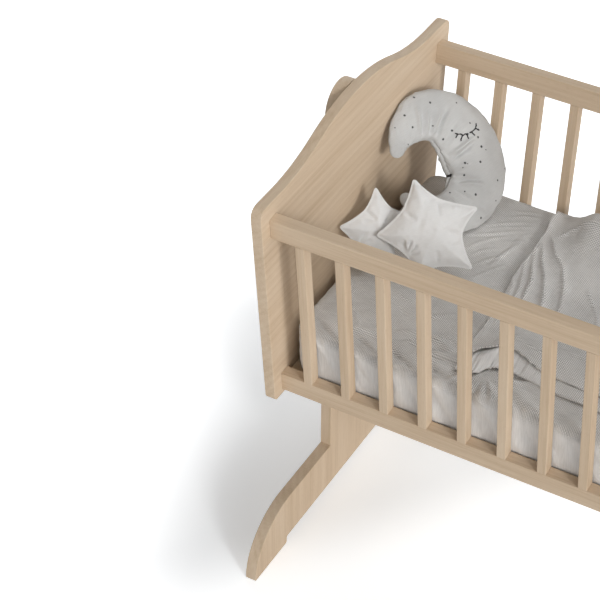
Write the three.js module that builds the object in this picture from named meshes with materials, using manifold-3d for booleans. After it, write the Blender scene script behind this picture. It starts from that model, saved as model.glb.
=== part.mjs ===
// A swinging cradle in pale beech: a slatted cot body hung between two T-shaped stand ends,
// made up with its mattress, a rumpled blanket, a crescent moon cushion and two star cushions.
// Millimetres, +Z up. X runs along the cradle with the head end at -X, Y runs across it, and the
// floor is z = 0. The origin is on the floor under the middle of the cradle.

import * as THREE from 'three';
import { mergeVertices } from 'three/addons/utils/BufferGeometryUtils.js';
import Module from 'manifold-3d';

const wasm = await Module();
wasm.setup();

const DEG = Math.PI / 180;
const FIT = 0.3; // gap left between pieces that meet

// End boards of the cot body
const INNER_LENGTH = 894; // from one end board's inner face to the other's
const BOARD_THICK = 18;
const BOARD_WIDTH = 600; // across, level with the tops of the side rails
const BOARD_BASE = 389; // underside above the floor
const LEAN = 5.2 * DEG; // outward lean of the sides and of the boards' edges
const CREST_RISE = 72.5; // crown of the crest above the side rails
const SHOULDER_RISE = 29; // level shoulders above the side rails
const SHOULDER_START = 245; // where the crest's hollow runs out into the shoulder, from the middle
const HUMP_SHARE = 0.51; // hump radius as a share of hump and hollow radii together
const BOARD_CORNER = 20;
const BOARD_FOOT_CORNER = 9;
const BOARD_ROUND = 1; // rounding of a board's edges

// Slatted sides
const RAIL_TOP = 756; // outer top edge of the side rails above the floor
const RAIL_INSET = 22.3; // outer face of a side, in from the end board's edge
const RAIL_HEIGHT = 35;
const RAIL_THICK = 20;
const RAIL_ROUND = 1;
const SIDE_DROP = 324; // top of the top rail to top of the low rail, along the side
const SLATS = 13;
const SLAT_WIDTH = 15;
const FIRST_GAP = 41; // end board to the first slat
const TENON = { width: 8, depth: 12, length: 10 };

// Mattress base
const LEDGE_WIDTH = 16;
const LEDGE_HEIGHT = 17;
const LEDGE_TOP = 415;
const BASE_THICK = 8;
const VENT = { length: 70, width: 18, columns: 6, pitch: 140, fromMiddle: 100 };

// Stand
const SWING_GAP = 2; // clear space between an end board and its stand end
const STAND_THICK = 20;
const PIVOT_HEIGHT = 784;
const POST_TOP_RADIUS = 43;
const POST_FOOT_HALF_WIDTH = 50;
const FOOT_SPREAD = 304; // tip of a foot from the middle
const FOOT_HEIGHT = 103;
const FOOT_CURVE = 116; // length of the foot's quarter-ellipse end
const PAD_LENGTH = 100;
const ARCH_RISE = 14; // clear height under the foot between its pads
const ARCH_STEP = 7;
const STRETCHER = { base: 186, height: 84, thick: 20 };
const STRETCHER_BOLT_SPREAD = 40;

// Swing limit
const SWING_LIMIT = 10 * DEG;
const STOP_DROP = 314; // below the pivot, where a stop peg meets the post
const STOP_RADIUS = 9;
const STOP_CLEARANCE = 0.5;

// Mattress and bedding
const MATTRESS_BASE = LEDGE_TOP + FIT + BASE_THICK + FIT;
const MATTRESS_TOP = 528;
const MATTRESS_LENGTH = 872;
const MATTRESS_CORNER = 26;
const MATTRESS_SIDE_GAP = 2; // between the mattress and the slats
const BEDDING_LEVEL = MATTRESS_TOP + 0.6; // lowest level of what lies on the mattress

const BOARD_FACE = INNER_LENGTH / 2; // inner face of an end board from the middle
const ENDS = [
  { name: 'head', out: -1 },
  { name: 'foot', out: 1 },
];
const SIDES = [
  { name: 'near', out: -1 },
  { name: 'far', out: 1 },
];

const beech = () => new THREE.MeshStandardMaterial({ color: 0xcdb391, roughness: 0.55, metalness: 0 });
const plywood = () => new THREE.MeshStandardMaterial({ color: 0xd6c19c, roughness: 0.65, metalness: 0 });
const steel = () => new THREE.MeshStandardMaterial({ color: 0xb9bcc0, roughness: 0.32, metalness: 1 });
const brass = () => new THREE.MeshStandardMaterial({ color: 0xb99a5b, roughness: 0.4, metalness: 1 });
const nylon = () => new THREE.MeshStandardMaterial({ color: 0xe9e6df, roughness: 0.5, metalness: 0 });
const sheeting = () => new THREE.MeshStandardMaterial({ color: 0xbab7b3, roughness: 0.9, metalness: 0 });
const coverCotton = () => new THREE.MeshStandardMaterial({ color: 0xb5b2ae, roughness: 0.92, metalness: 0 });
const dottedCotton = () => new THREE.MeshStandardMaterial({ color: 0xc4c3c1, roughness: 0.9, metalness: 0 });
const creamCotton = () => new THREE.MeshStandardMaterial({ color: 0xe2e0dc, roughness: 0.9, metalness: 0 });

function place(group, name, geometry, material) {
  const mesh = new THREE.Mesh(geometry, material);
  mesh.name = name;
  group.add(mesh);
  return mesh;
}

// Closed mesh to solid, for the cuts and joins, and back.
function solid(geometry) {
  const bare = geometry.clone();
  bare.deleteAttribute('normal');
  bare.deleteAttribute('uv');
  const merged = mergeVertices(bare, 1e-4);
  const vertProperties = new Float32Array(merged.attributes.position.array);
  const triVerts = new Uint32Array(merged.index.array);
  return new wasm.Manifold(new wasm.Mesh({ numProp: 3, vertProperties, triVerts }));
}

function surface(body) {
  const mesh = body.getMesh();
  const geometry = new THREE.BufferGeometry();
  geometry.setAttribute('position', new THREE.BufferAttribute(mesh.vertProperties, 3));
  geometry.setIndex(new THREE.BufferAttribute(mesh.triVerts, 1));
  return geometry;
}

function cut(geometry, tools) {
  return surface(tools.reduce((body, tool) => body.subtract(solid(tool)), solid(geometry)));
}

function join(geometry, additions) {
  return surface(additions.reduce((body, addition) => body.add(solid(addition)), solid(geometry)));
}

// An outline drawn in Y and Z becomes a board or bar that runs along +X from x = 0.
function alongX(shape, length, options = {}) {
  const settings = { depth: length, bevelEnabled: false, curveSegments: 7, ...options };
  const geometry = new THREE.ExtrudeGeometry(shape, settings);
  const turn = new THREE.Matrix4().makeBasis(
    new THREE.Vector3(0, 1, 0),
    new THREE.Vector3(0, 0, 1),
    new THREE.Vector3(1, 0, 0),
  );
  return geometry.applyMatrix4(turn);
}

function boardWithRoundedEdges(shape, thickness, round) {
  return alongX(shape, thickness - 2 * round, {
    bevelEnabled: true,
    bevelThickness: round,
    bevelSize: round,
    bevelOffset: -round,
    bevelSegments: 2,
  }).translate(round, 0, 0);
}

function roundedRectangle(width, height, radius) {
  const w = width / 2;
  const h = height / 2;
  const shape = new THREE.Shape();
  shape.moveTo(-w + radius, -h);
  shape.lineTo(w - radius, -h);
  shape.quadraticCurveTo(w, -h, w, -h + radius);
  shape.lineTo(w, h - radius);
  shape.quadraticCurveTo(w, h, w - radius, h);
  shape.lineTo(-w + radius, h);
  shape.quadraticCurveTo(-w, h, -w, h - radius);
  shape.lineTo(-w, -h + radius);
  shape.quadraticCurveTo(-w, -h, -w + radius, -h);
  return shape;
}

// A turned piece on an axis along X. The profile gives [radius, distance] pairs, with the distance
// measured outwards from the end board's inner face at the end that the piece belongs to.
function turned(profile, end, y, z, segments = 20) {
  const points = profile.map(([radius, along]) => new THREE.Vector2(radius, along));
  const geometry = new THREE.LatheGeometry(points, segments);
  return geometry.rotateZ((-end.out * Math.PI) / 2).translate(end.out * BOARD_FACE, y, z);
}

function bore(radius, from, to, end, y, z) {
  return turned([[0, from], [radius, from], [radius, to], [0, to]], end, y, z);
}

// Closed skin over rings with the same number of points, from a first pole to a last one.
function skin(rings, first, last) {
  const count = rings[0].length;
  const points = [first, ...rings.flat(), last];
  const faces = [];
  const at = (ring, i) => 1 + ring * count + (i % count);
  for (let i = 0; i < count; i += 1) {
    faces.push(0, at(0, i + 1), at(0, i));
    faces.push(points.length - 1, at(rings.length - 1, i), at(rings.length - 1, i + 1));
  }
  for (let ring = 0; ring + 1 < rings.length; ring += 1) {
    for (let i = 0; i < count; i += 1) {
      faces.push(at(ring, i), at(ring, i + 1), at(ring + 1, i));
      faces.push(at(ring, i + 1), at(ring + 1, i + 1), at(ring + 1, i));
    }
  }
  const geometry = new THREE.BufferGeometry().setFromPoints(points);
  geometry.setIndex(faces);
  return geometry;
}

// Half width of the leaning cot at a height, measured to a depth inside the sides' outer face.
function sideAt(z, depth) {
  const outerTop = BOARD_WIDTH / 2 - RAIL_INSET;
  return outerTop - (RAIL_TOP - z) * Math.tan(LEAN) - depth / Math.cos(LEAN);
}

// Camel-back end board: a hump and two hollows meet at one slope, and run out into level shoulders.
function endBoardOutline() {
  const edge = (z) => BOARD_WIDTH / 2 + (z - RAIL_TOP) * Math.tan(LEAN);
  const shoulder = RAIL_TOP + SHOULDER_RISE;
  const crown = RAIL_TOP + CREST_RISE;
  const slope = 2 * Math.atan((CREST_RISE - SHOULDER_RISE) / SHOULDER_START);
  const bothRadii = SHOULDER_START / Math.sin(slope);
  const hump = HUMP_SHARE * bothRadii;
  const hollow = bothRadii - hump;
  const up = Math.PI / 2;
  const foot = BOARD_BASE + BOARD_FOOT_CORNER;
  const shape = new THREE.Shape();
  shape.moveTo(-edge(BOARD_BASE) + BOARD_FOOT_CORNER, BOARD_BASE);
  shape.lineTo(edge(BOARD_BASE) - BOARD_FOOT_CORNER, BOARD_BASE);
  shape.quadraticCurveTo(edge(BOARD_BASE), BOARD_BASE, edge(foot), foot);
  shape.lineTo(edge(shoulder - BOARD_CORNER), shoulder - BOARD_CORNER);
  shape.quadraticCurveTo(edge(shoulder), shoulder, edge(shoulder) - BOARD_CORNER, shoulder);
  shape.lineTo(SHOULDER_START, shoulder);
  shape.absarc(SHOULDER_START, shoulder + hollow, hollow, -up, -up - slope, true);
  shape.absarc(0, crown - hump, hump, up - slope, up + slope, false);
  shape.absarc(-SHOULDER_START, shoulder + hollow, hollow, -up + slope, -up, true);
  shape.lineTo(-edge(shoulder) + BOARD_CORNER, shoulder);
  shape.quadraticCurveTo(-edge(shoulder), shoulder, -edge(shoulder - BOARD_CORNER), shoulder - BOARD_CORNER);
  shape.lineTo(-edge(foot), foot);
  shape.quadraticCurveTo(-edge(BOARD_BASE), BOARD_BASE, -edge(BOARD_BASE) + BOARD_FOOT_CORNER, BOARD_BASE);
  return shape;
}

// Half width of the tapered stand post at a height.
function postHalfWidth(z) {
  const share = (PIVOT_HEIGHT - z) / (PIVOT_HEIGHT - FOOT_HEIGHT);
  return POST_TOP_RADIUS + share * (POST_FOOT_HALF_WIDTH - POST_TOP_RADIUS);
}

// A stop peg stands where the post would meet it at the swing's limit, turned back to rest.
function stopPlace(side) {
  const contact = postHalfWidth(PIVOT_HEIGHT - STOP_DROP) + STOP_RADIUS + STOP_CLEARANCE;
  const y = contact * Math.cos(SWING_LIMIT) + STOP_DROP * Math.sin(SWING_LIMIT);
  const drop = STOP_DROP * Math.cos(SWING_LIMIT) - contact * Math.sin(SWING_LIMIT);
  return { y: side.out * y, z: PIVOT_HEIGHT - drop };
}

function endBoard(end) {
  const board = boardWithRoundedEdges(endBoardOutline(), BOARD_THICK, BOARD_ROUND);
  board.translate(end.out > 0 ? BOARD_FACE : -BOARD_FACE - BOARD_THICK, 0, 0);
  const past = BOARD_THICK + 1;
  const stops = SIDES.map(stopPlace);
  return cut(board, [
    bore(6 + FIT, 4, past, end, 0, PIVOT_HEIGHT),
    ...stops.map((stop) => bore(5 + FIT, 5, past, end, stop.y, stop.z)),
  ]);
}

function slatStart(index) {
  const pitch = (INNER_LENGTH - 2 * FIRST_GAP - SLAT_WIDTH) / (SLATS - 1);
  return -BOARD_FACE + FIRST_GAP + index * pitch;
}

// A side rail from board to board, mortised on one face for the slats. In the side's own frame,
// y = 0 is the outer face, z = 0 is the top of the top rail and inward is the sign of y inside.
function sideRail(inward, top, mortiseFace) {
  const section = roundedRectangle(RAIL_THICK, RAIL_HEIGHT, RAIL_ROUND);
  const rail = alongX(section, INNER_LENGTH - 2 * FIT, { curveSegments: 3 });
  const middle = (inward * RAIL_THICK) / 2;
  rail.translate(-BOARD_FACE + FIT, middle, top - RAIL_HEIGHT / 2);
  const depth = TENON.length + 1;
  const mortises = [];
  for (let i = 0; i < SLATS; i += 1) {
    const mortise = new THREE.BoxGeometry(TENON.width + 2 * FIT, TENON.depth + 2 * FIT, 2 * depth);
    mortises.push(mortise.translate(slatStart(i) + SLAT_WIDTH / 2, middle, mortiseFace));
  }
  return cut(rail, mortises);
}

// A square slat with a tenon at each end.
function slat(inward, index) {
  const bottom = -SIDE_DROP + FIT;
  const length = SIDE_DROP - RAIL_HEIGHT - 2 * FIT;
  const section = roundedRectangle(SLAT_WIDTH, RAIL_THICK, RAIL_ROUND);
  const body = new THREE.ExtrudeGeometry(section, { depth: length, bevelEnabled: false, curveSegments: 2 });
  const tenon = (z) => new THREE.BoxGeometry(TENON.width, TENON.depth, 2 * TENON.length).translate(0, 0, z);
  const whole = join(body, [tenon(0), tenon(length)]);
  return whole.translate(slatStart(index) + SLAT_WIDTH / 2, (inward * RAIL_THICK) / 2, bottom);
}

function slattedSide(side) {
  const group = new THREE.Group();
  const inward = -side.out;
  group.position.set(0, side.out * (BOARD_WIDTH / 2 - RAIL_INSET), RAIL_TOP);
  group.rotation.x = inward * LEAN;
  place(group, `top_rail_${side.name}`, sideRail(inward, 0, -RAIL_HEIGHT), beech());
  place(group, `low_rail_${side.name}`, sideRail(inward, -SIDE_DROP, -SIDE_DROP), beech());
  for (let i = 0; i < SLATS; i += 1) {
    const number = String(i + 1).padStart(2, '0');
    place(group, `slat_${side.name}_${number}`, slat(inward, i), beech());
  }
  return group;
}

// A ledge screwed inside the low rail: its back leans with the rail and its top is level.
function ledge(side) {
  const bottom = LEDGE_TOP - LEDGE_HEIGHT;
  const front = sideAt(LEDGE_TOP, RAIL_THICK) - LEDGE_WIDTH;
  const shape = new THREE.Shape();
  shape.moveTo(side.out * (sideAt(bottom, RAIL_THICK) - FIT), bottom);
  shape.lineTo(side.out * (sideAt(LEDGE_TOP, RAIL_THICK) - FIT), LEDGE_TOP);
  shape.lineTo(side.out * front, LEDGE_TOP);
  shape.lineTo(side.out * front, bottom);
  shape.closePath();
  return alongX(shape, INNER_LENGTH - 2 * FIT).translate(-BOARD_FACE + FIT, 0, 0);
}

// Plywood base with round-ended vents, lying on the two ledges.
function mattressBase() {
  const halfLength = BOARD_FACE - 1;
  const halfWidth = sideAt(LEDGE_TOP, RAIL_THICK) - 1;
  const shape = new THREE.Shape();
  shape.moveTo(-halfLength, -halfWidth);
  shape.lineTo(halfLength, -halfWidth);
  shape.lineTo(halfLength, halfWidth);
  shape.lineTo(-halfLength, halfWidth);
  shape.closePath();
  const reach = (VENT.length - VENT.width) / 2;
  for (let column = 0; column < VENT.columns; column += 1) {
    const x = (column - (VENT.columns - 1) / 2) * VENT.pitch;
    for (const y of [-VENT.fromMiddle, VENT.fromMiddle]) {
      const vent = new THREE.Path();
      vent.absarc(x + reach, y, VENT.width / 2, -Math.PI / 2, Math.PI / 2, false);
      vent.absarc(x - reach, y, VENT.width / 2, Math.PI / 2, 1.5 * Math.PI, false);
      shape.holes.push(vent);
    }
  }
  const settings = { depth: BASE_THICK, bevelEnabled: false, curveSegments: 3 };
  return new THREE.ExtrudeGeometry(shape, settings).translate(0, 0, LEDGE_TOP + FIT);
}

// Stand end: a tapered post with a round top, on a foot with quarter-ellipse ends and two pads.
function standEndOutline() {
  const shape = new THREE.Shape();
  const pad = FOOT_SPREAD - PAD_LENGTH;
  const post = postHalfWidth(FOOT_HEIGHT);
  const curveStart = FOOT_SPREAD - FOOT_CURVE;
  const lean = Math.atan((POST_FOOT_HALF_WIDTH - POST_TOP_RADIUS) / (PIVOT_HEIGHT - FOOT_HEIGHT));
  shape.moveTo(-FOOT_SPREAD, 0);
  shape.lineTo(-pad, 0);
  shape.bezierCurveTo(-pad + ARCH_STEP, 0, -pad, ARCH_RISE, -pad + ARCH_STEP, ARCH_RISE);
  shape.lineTo(pad - ARCH_STEP, ARCH_RISE);
  shape.bezierCurveTo(pad, ARCH_RISE, pad - ARCH_STEP, 0, pad, 0);
  shape.lineTo(FOOT_SPREAD, 0);
  shape.absellipse(curveStart, 0, FOOT_CURVE, FOOT_HEIGHT, 0, Math.PI / 2, false, 0);
  shape.lineTo(post, FOOT_HEIGHT);
  shape.absarc(0, PIVOT_HEIGHT, POST_TOP_RADIUS, lean, Math.PI - lean, false);
  shape.lineTo(-post, FOOT_HEIGHT);
  shape.lineTo(-curveStart, FOOT_HEIGHT);
  shape.absellipse(-curveStart, 0, FOOT_CURVE, FOOT_HEIGHT, Math.PI / 2, Math.PI, false, 0);
  return shape;
}

function stretcherBoltHeights() {
  const middle = STRETCHER.base + STRETCHER.height / 2;
  return [middle - STRETCHER_BOLT_SPREAD / 2, middle + STRETCHER_BOLT_SPREAD / 2];
}

function standEnd(end) {
  const inner = BOARD_THICK + SWING_GAP;
  const panel = boardWithRoundedEdges(standEndOutline(), STAND_THICK, BOARD_ROUND);
  const start = BOARD_FACE + inner;
  panel.translate(end.out > 0 ? start : -start - STAND_THICK, 0, 0);
  const past = inner + STAND_THICK + 1;
  return cut(panel, [
    bore(7 + FIT, inner - 1, past, end, 0, PIVOT_HEIGHT),
    ...stretcherBoltHeights().map((z) => bore(3.2 + FIT, inner - 1, past, end, 0, z)),
  ]);
}

// The stretcher that ties the two stand ends together low down, end-bored for its bolts.
function stretcher() {
  const reach = BOARD_FACE + BOARD_THICK + SWING_GAP - FIT;
  const section = roundedRectangle(STRETCHER.thick, STRETCHER.height, 4);
  const bar = alongX(section, 2 * reach, { curveSegments: 3 });
  bar.translate(-reach, 0, STRETCHER.base + STRETCHER.height / 2);
  const holes = ENDS.flatMap((end) =>
    stretcherBoltHeights().map((z) => bore(3.2 + FIT, -32, BOARD_THICK + SWING_GAP + 1, end, 0, z)));
  return cut(bar, holes);
}

// A flat-headed bolt through the stand end into the stretcher.
function stretcherBolt(end, z) {
  const face = BOARD_THICK + SWING_GAP + STAND_THICK + FIT;
  return turned([[0, -30], [2.2, -30], [3.2, -28], [3.2, face], [8, face], [8, face + 1.6],
    [6.8, face + 2.6], [2.4, face + 2.6], [2.4, face + 1], [0, face + 1]], end, 0, z, 14);
}

// The pivot: a shoulder bolt screwed into a blind threaded insert in the end board. Its shoulder
// turns in a flanged bush in the post, and a washer keeps board and post apart.
function pivot(end, cradle, stand) {
  const post = BOARD_THICK + SWING_GAP;
  const face = post + STAND_THICK;
  const head = face + FIT + 1.4 + FIT;
  const bolt = [[0, 6.5], [3, 6.5], [3.9, 7.4], [3.9, BOARD_THICK + FIT], [5, BOARD_THICK + FIT],
    [5, head], [14, head], [14, head + 2], [11.5, head + 4.2], [3.2, head + 4.6], [3.2, head + 1.6],
    [0, head + 1.6]];
  const insert = [[0, 4 + FIT], [6, 4 + FIT], [6, BOARD_THICK - FIT], [4.2, BOARD_THICK - FIT],
    [4.2, 6], [0, 6]];
  const washer = [[5.3, BOARD_THICK + FIT], [13, BOARD_THICK + FIT], [13, post - FIT], [5.3, post - FIT],
    [5.3, BOARD_THICK + FIT]];
  const bush = [[5.15, post], [7, post], [7, face + FIT], [11.5, face + FIT], [11.5, face + FIT + 1.4],
    [5.15, face + FIT + 1.4], [5.15, post]];
  place(cradle, `pivot_bolt_${end.name}`, turned(bolt, end, 0, PIVOT_HEIGHT), steel());
  place(cradle, `pivot_insert_${end.name}`, turned(insert, end, 0, PIVOT_HEIGHT), brass());
  place(cradle, `pivot_washer_${end.name}`, turned(washer, end, 0, PIVOT_HEIGHT), nylon());
  place(stand, `pivot_bush_${end.name}`, turned(bush, end, 0, PIVOT_HEIGHT), nylon());
}

// A turned peg let into the end board's outer face, one each side of the post.
function stopPeg(end, side) {
  const spot = stopPlace(side);
  const face = BOARD_THICK + FIT;
  const tip = BOARD_THICK + SWING_GAP + STAND_THICK - 2;
  return turned([[0, 6], [4.2, 6], [5, 7.2], [5, face], [STOP_RADIUS, face], [STOP_RADIUS, tip - 3],
    [STOP_RADIUS - 1, tip - 0.8], [STOP_RADIUS - 3, tip], [0, tip]], end, spot.y, spot.z, 16);
}

// Foam mattress with rounded corners: its sides lean with the slats and draw in half way up.
function mattress() {
  const corner = (inset, z) => {
    const w = sideAt(z, RAIL_THICK) - MATTRESS_SIDE_GAP - inset;
    const l = MATTRESS_LENGTH / 2 - inset;
    const r = Math.max(MATTRESS_CORNER - inset, 6);
    const ring = [];
    const steps = 5;
    for (const [sx, sy, from] of [[1, 1, 0], [-1, 1, 90], [-1, -1, 180], [1, -1, 270]]) {
      for (let i = 0; i <= steps; i += 1) {
        const a = (from + (90 * i) / steps) * DEG;
        ring.push(new THREE.Vector3(sx * (l - r) + r * Math.cos(a), sy * (w - r) + r * Math.sin(a), z));
      }
    }
    return ring;
  };
  const height = MATTRESS_TOP - MATTRESS_BASE;
  const levels = [[9, 0], [3.5, 0.03], [1, 0.09], [0.5, 0.2], [2, 0.5], [0.5, 0.78], [1, 0.87], [5, 0.95],
    [14, 0.985], [40, 1]];
  const rings = levels.map(([inset, share]) => corner(inset, MATTRESS_BASE + share * height));
  const first = new THREE.Vector3(0, 0, MATTRESS_BASE);
  return skin(rings, first, new THREE.Vector3(0, 0, MATTRESS_TOP));
}

// The blanket lies over the foot end of the mattress, bunched up along the far side. Each main fold
// is a ridge from one point to another, measured from the head board and from the middle.
const BLANKET = { headEdge: 262, footEdge: 866, nearEdge: -206, farEdge: 224, thick: 13 };
const BLANKET_FOLDS = [
  { from: [256, 168], to: [338, -40], spread: 13, rise: 15 },
  { from: [292, 140], to: [378, -60], spread: 15, rise: 12 },
  { from: [262, 40], to: [300, -150], spread: 12, rise: 9 },
  { from: [330, 190], to: [620, 120], spread: 26, rise: 12 },
  { from: [420, 120], to: [640, -120], spread: 30, rise: 8 },
  { from: [640, 200], to: [830, -90], spread: 28, rise: 10 },
  { from: [300, -150], to: [470, -172], spread: 14, rise: 10 },
];

function ridge(fold, x, y) {
  const [ax, ay] = fold.from;
  const dx = fold.to[0] - ax;
  const dy = fold.to[1] - ay;
  const share = ((x - ax) * dx + (y - ay) * dy) / (dx * dx + dy * dy);
  const along = Math.min(1, Math.max(0, share));
  const away = Math.hypot(x - ax - along * dx, y - ay - along * dy);
  return fold.rise * Math.exp(-((away / fold.spread) ** 2));
}

function blanketTop(x, y, edgeShare) {
  const bunchAcross = Math.exp(-(((BLANKET.farEdge - 12 - y) / 44) ** 2));
  const bunch = 44 * bunchAcross * Math.exp(-(((x - 345) / 170) ** 2));
  const folds = BLANKET_FOLDS.reduce((sum, fold) => sum + ridge(fold, x, y), 0);
  const rim = Math.min(1, edgeShare * 9);
  return BEDDING_LEVEL + 2 + Math.sqrt(rim) * (BLANKET.thick - 2) + rim * (bunch + folds);
}

function blanket() {
  const columns = 32;
  const rows = 17;
  const point = (i, j, top) => {
    const s = i / columns;
    const t = j / rows;
    const headEdge = BLANKET.headEdge + 5 * Math.cos(2.2 * Math.PI * t) - 16 * t ** 6;
    const x = headEdge + s * (BLANKET.footEdge - headEdge);
    const nearEdge = BLANKET.nearEdge + 32 * Math.exp(-(((x - 345) / 34) ** 2)) + 30 * Math.exp(-s * 25);
    const y = nearEdge + t * (BLANKET.farEdge - 18 * (1 - Math.min(1, s * 6)) - nearEdge);
    const edgeShare = Math.min(s, 1 - s, t * 0.8, (1 - t) * 0.8);
    const z = top ? blanketTop(x, y, edgeShare) : BEDDING_LEVEL;
    return new THREE.Vector3(x - BOARD_FACE, y, z);
  };
  const points = [];
  const faces = [];
  for (const top of [false, true]) {
    for (let j = 0; j <= rows; j += 1) {
      for (let i = 0; i <= columns; i += 1) {
        points.push(point(i, j, top));
      }
    }
  }
  const layer = (columns + 1) * (rows + 1);
  const at = (i, j, top) => (top ? layer : 0) + j * (columns + 1) + i;
  for (let j = 0; j < rows; j += 1) {
    for (let i = 0; i < columns; i += 1) {
      const under = [at(i, j, false), at(i + 1, j, false), at(i + 1, j + 1, false), at(i, j + 1, false)];
      const over = [at(i, j, true), at(i + 1, j, true), at(i + 1, j + 1, true), at(i, j + 1, true)];
      faces.push(under[0], under[2], under[1], under[0], under[3], under[2]);
      faces.push(over[0], over[1], over[2], over[0], over[2], over[3]);
    }
  }
  const border = [];
  for (let i = 0; i < columns; i += 1) border.push([i, 0]);
  for (let j = 0; j < rows; j += 1) border.push([columns, j]);
  for (let i = columns; i > 0; i -= 1) border.push([i, rows]);
  for (let j = rows; j > 0; j -= 1) border.push([0, j]);
  border.forEach(([i, j], k) => {
    const [m, n] = border[(k + 1) % border.length];
    faces.push(at(i, j, false), at(m, n, false), at(m, n, true));
    faces.push(at(i, j, false), at(m, n, true), at(i, j, true));
  });
  const geometry = new THREE.BufferGeometry().setFromPoints(points);
  geometry.setIndex(faces);
  return geometry;
}

// A cushion's own frame: across to the viewer's right, up the face, and out of the front. It faces
// along +X turned towards -Y, is tipped back from upright, and is turned in its own plane.
function cushionFrame({ x, y, z, facing, tipped, spin }) {
  const a = facing * DEG;
  const t = tipped * DEG;
  const front = new THREE.Vector3(Math.cos(t) * Math.cos(a), -Math.cos(t) * Math.sin(a), Math.sin(t));
  const level = new THREE.Vector3(Math.sin(a), Math.cos(a), 0);
  const across = level.clone().applyAxisAngle(front, spin * DEG);
  const up = front.clone().cross(across);
  return new THREE.Matrix4().makeBasis(across, up, front).setPosition(x - BOARD_FACE, y, z);
}

// Crescent moon cushion: sections swept from the upper horn round to the lower one, between points
// along its outer and inner edges in its own plane. The lower horn sags on to the mattress.
const MOON = {
  pose: { x: 88, y: 127, z: 635.5, facing: 12, tipped: 43, spin: 0 },
  outer: [[-96, 62], [-57.5, 101], [-5, 121], [51, 111], [93.5, 75], [117, 25.5], [116, -29], [90.5, -78],
    [45.5, -109], [-10, -116.5], [-67, -98], [-108, -59], [-125.5, -6]],
  inner: [[-78, 44], [-61.5, 52.5], [-42, 54], [-22.5, 50.5], [-3.5, 41], [0.5, 23], [-1.5, 0], [-8, -19],
    [-22.5, -32], [-43.5, -36], [-69, -31], [-89.5, -17], [-100.5, 2]],
  fullness: 0.5, // thickness as a share of the section's width
  sag: [-0.37, 0.7, -0.61],
  sagAtBottom: 24,
  sagAtHorn: 56,
};

function curveThrough(points) {
  return new THREE.SplineCurve(points.map(([x, y]) => new THREE.Vector2(x, y)));
}

function moonCushion() {
  const stations = 28;
  const around = 16;
  const outer = curveThrough(MOON.outer);
  const inner = curveThrough(MOON.inner);
  const sag = new THREE.Vector3(...MOON.sag);
  const pose = cushionFrame(MOON.pose);
  const sagAt = (share) => {
    const low = Math.max(0, (share - 0.42) / 0.58);
    return MOON.sagAtBottom * Math.min(1, low * 1.9) ** 1.5 + (MOON.sagAtHorn - MOON.sagAtBottom) * low ** 3;
  };
  const settle = (point, share) => point.applyMatrix4(pose).addScaledVector(sag, sagAt(share));
  const section = (share) => {
    const o = outer.getPoint(share);
    const i = inner.getPoint(share);
    const middle = o.clone().add(i).multiplyScalar(0.5);
    const half = o.clone().sub(i).multiplyScalar(0.5);
    const end = Math.min(share, 1 - share);
    const blunt = Math.sqrt(1 - (1 - Math.min(1, end / 0.06)) ** 2);
    const thick = half.length() * MOON.fullness * (1 - 0.12 * Math.sin(Math.PI * share));
    const ring = [];
    for (let k = 0; k < around; k += 1) {
      const a = (2 * Math.PI * k) / around;
      const p = middle.clone().addScaledVector(half, Math.cos(a) * blunt);
      ring.push(settle(new THREE.Vector3(p.x, p.y, Math.sin(a) * thick * blunt), share));
    }
    return ring;
  };
  const rings = [];
  for (let s = 1; s < stations; s += 1) {
    const share = 0.5 - 0.5 * Math.cos((Math.PI * s) / stations);
    rings.push(section(share));
  }
  const pole = (share) => {
    const p = outer.getPoint(share).add(inner.getPoint(share)).multiplyScalar(0.5);
    return settle(new THREE.Vector3(p.x, p.y, 0), share);
  };
  return skin(rings, pole(0), pole(1));
}

// Star cushions: five blunt points round a crowned middle, thin at the seam. A hollow edge runs from
// each point through a notch to the next, all measured in the cushion's own plane.
const STARS = {
  star_cushion_large: {
    pose: { x: 129, y: -5, z: 596, facing: 51, tipped: 34, spin: 8 },
    points: [[-6, 94], [-87, 18], [-47, -76], [57, -74.5], [88, 22]],
    notches: [[-35, 46.5], [-43, -28], [0, -54], [50, -14], [26, 51]],
    thick: 21,
  },
  star_cushion_small: {
    pose: { x: 53, y: -30, z: 590, facing: 35, tipped: 27, spin: -3 },
    points: [[4, 75], [-70, 21], [-46, -58], [24, -64], [66, 14]],
    notches: [[-20.5, 37.5], [-43, -17], [-8, -43], [25, -20], [25, 32]],
    thick: 15,
  },
};
const STAR_BLUNT = 0.04; // share of an edge lost at each end
const NOTCH_SHARPNESS = 0.35; // from a round hollow towards a corner

function starOutline({ points, notches }) {
  const steps = 11;
  const tips = points.map(([x, y]) => new THREE.Vector2(x, y));
  return tips.flatMap((tip, i) => {
    const next = tips[(i + 1) % tips.length];
    const notch = new THREE.Vector2(...notches[i]);
    const pull = notch.clone().multiplyScalar(2).addScaledVector(tip, -0.5).addScaledVector(next, -0.5);
    const hollow = new THREE.QuadraticBezierCurve(tip, pull, next);
    return Array.from({ length: steps + 1 }, (_, k) => {
      const share = STAR_BLUNT + ((1 - 2 * STAR_BLUNT) * k) / steps;
      const [from, to, along] = share < 0.5 ? [tip, notch, 2 * share] : [notch, next, 2 * share - 1];
      return hollow.getPoint(share).lerp(from.clone().lerp(to, along), NOTCH_SHARPNESS);
    });
  });
}

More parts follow.
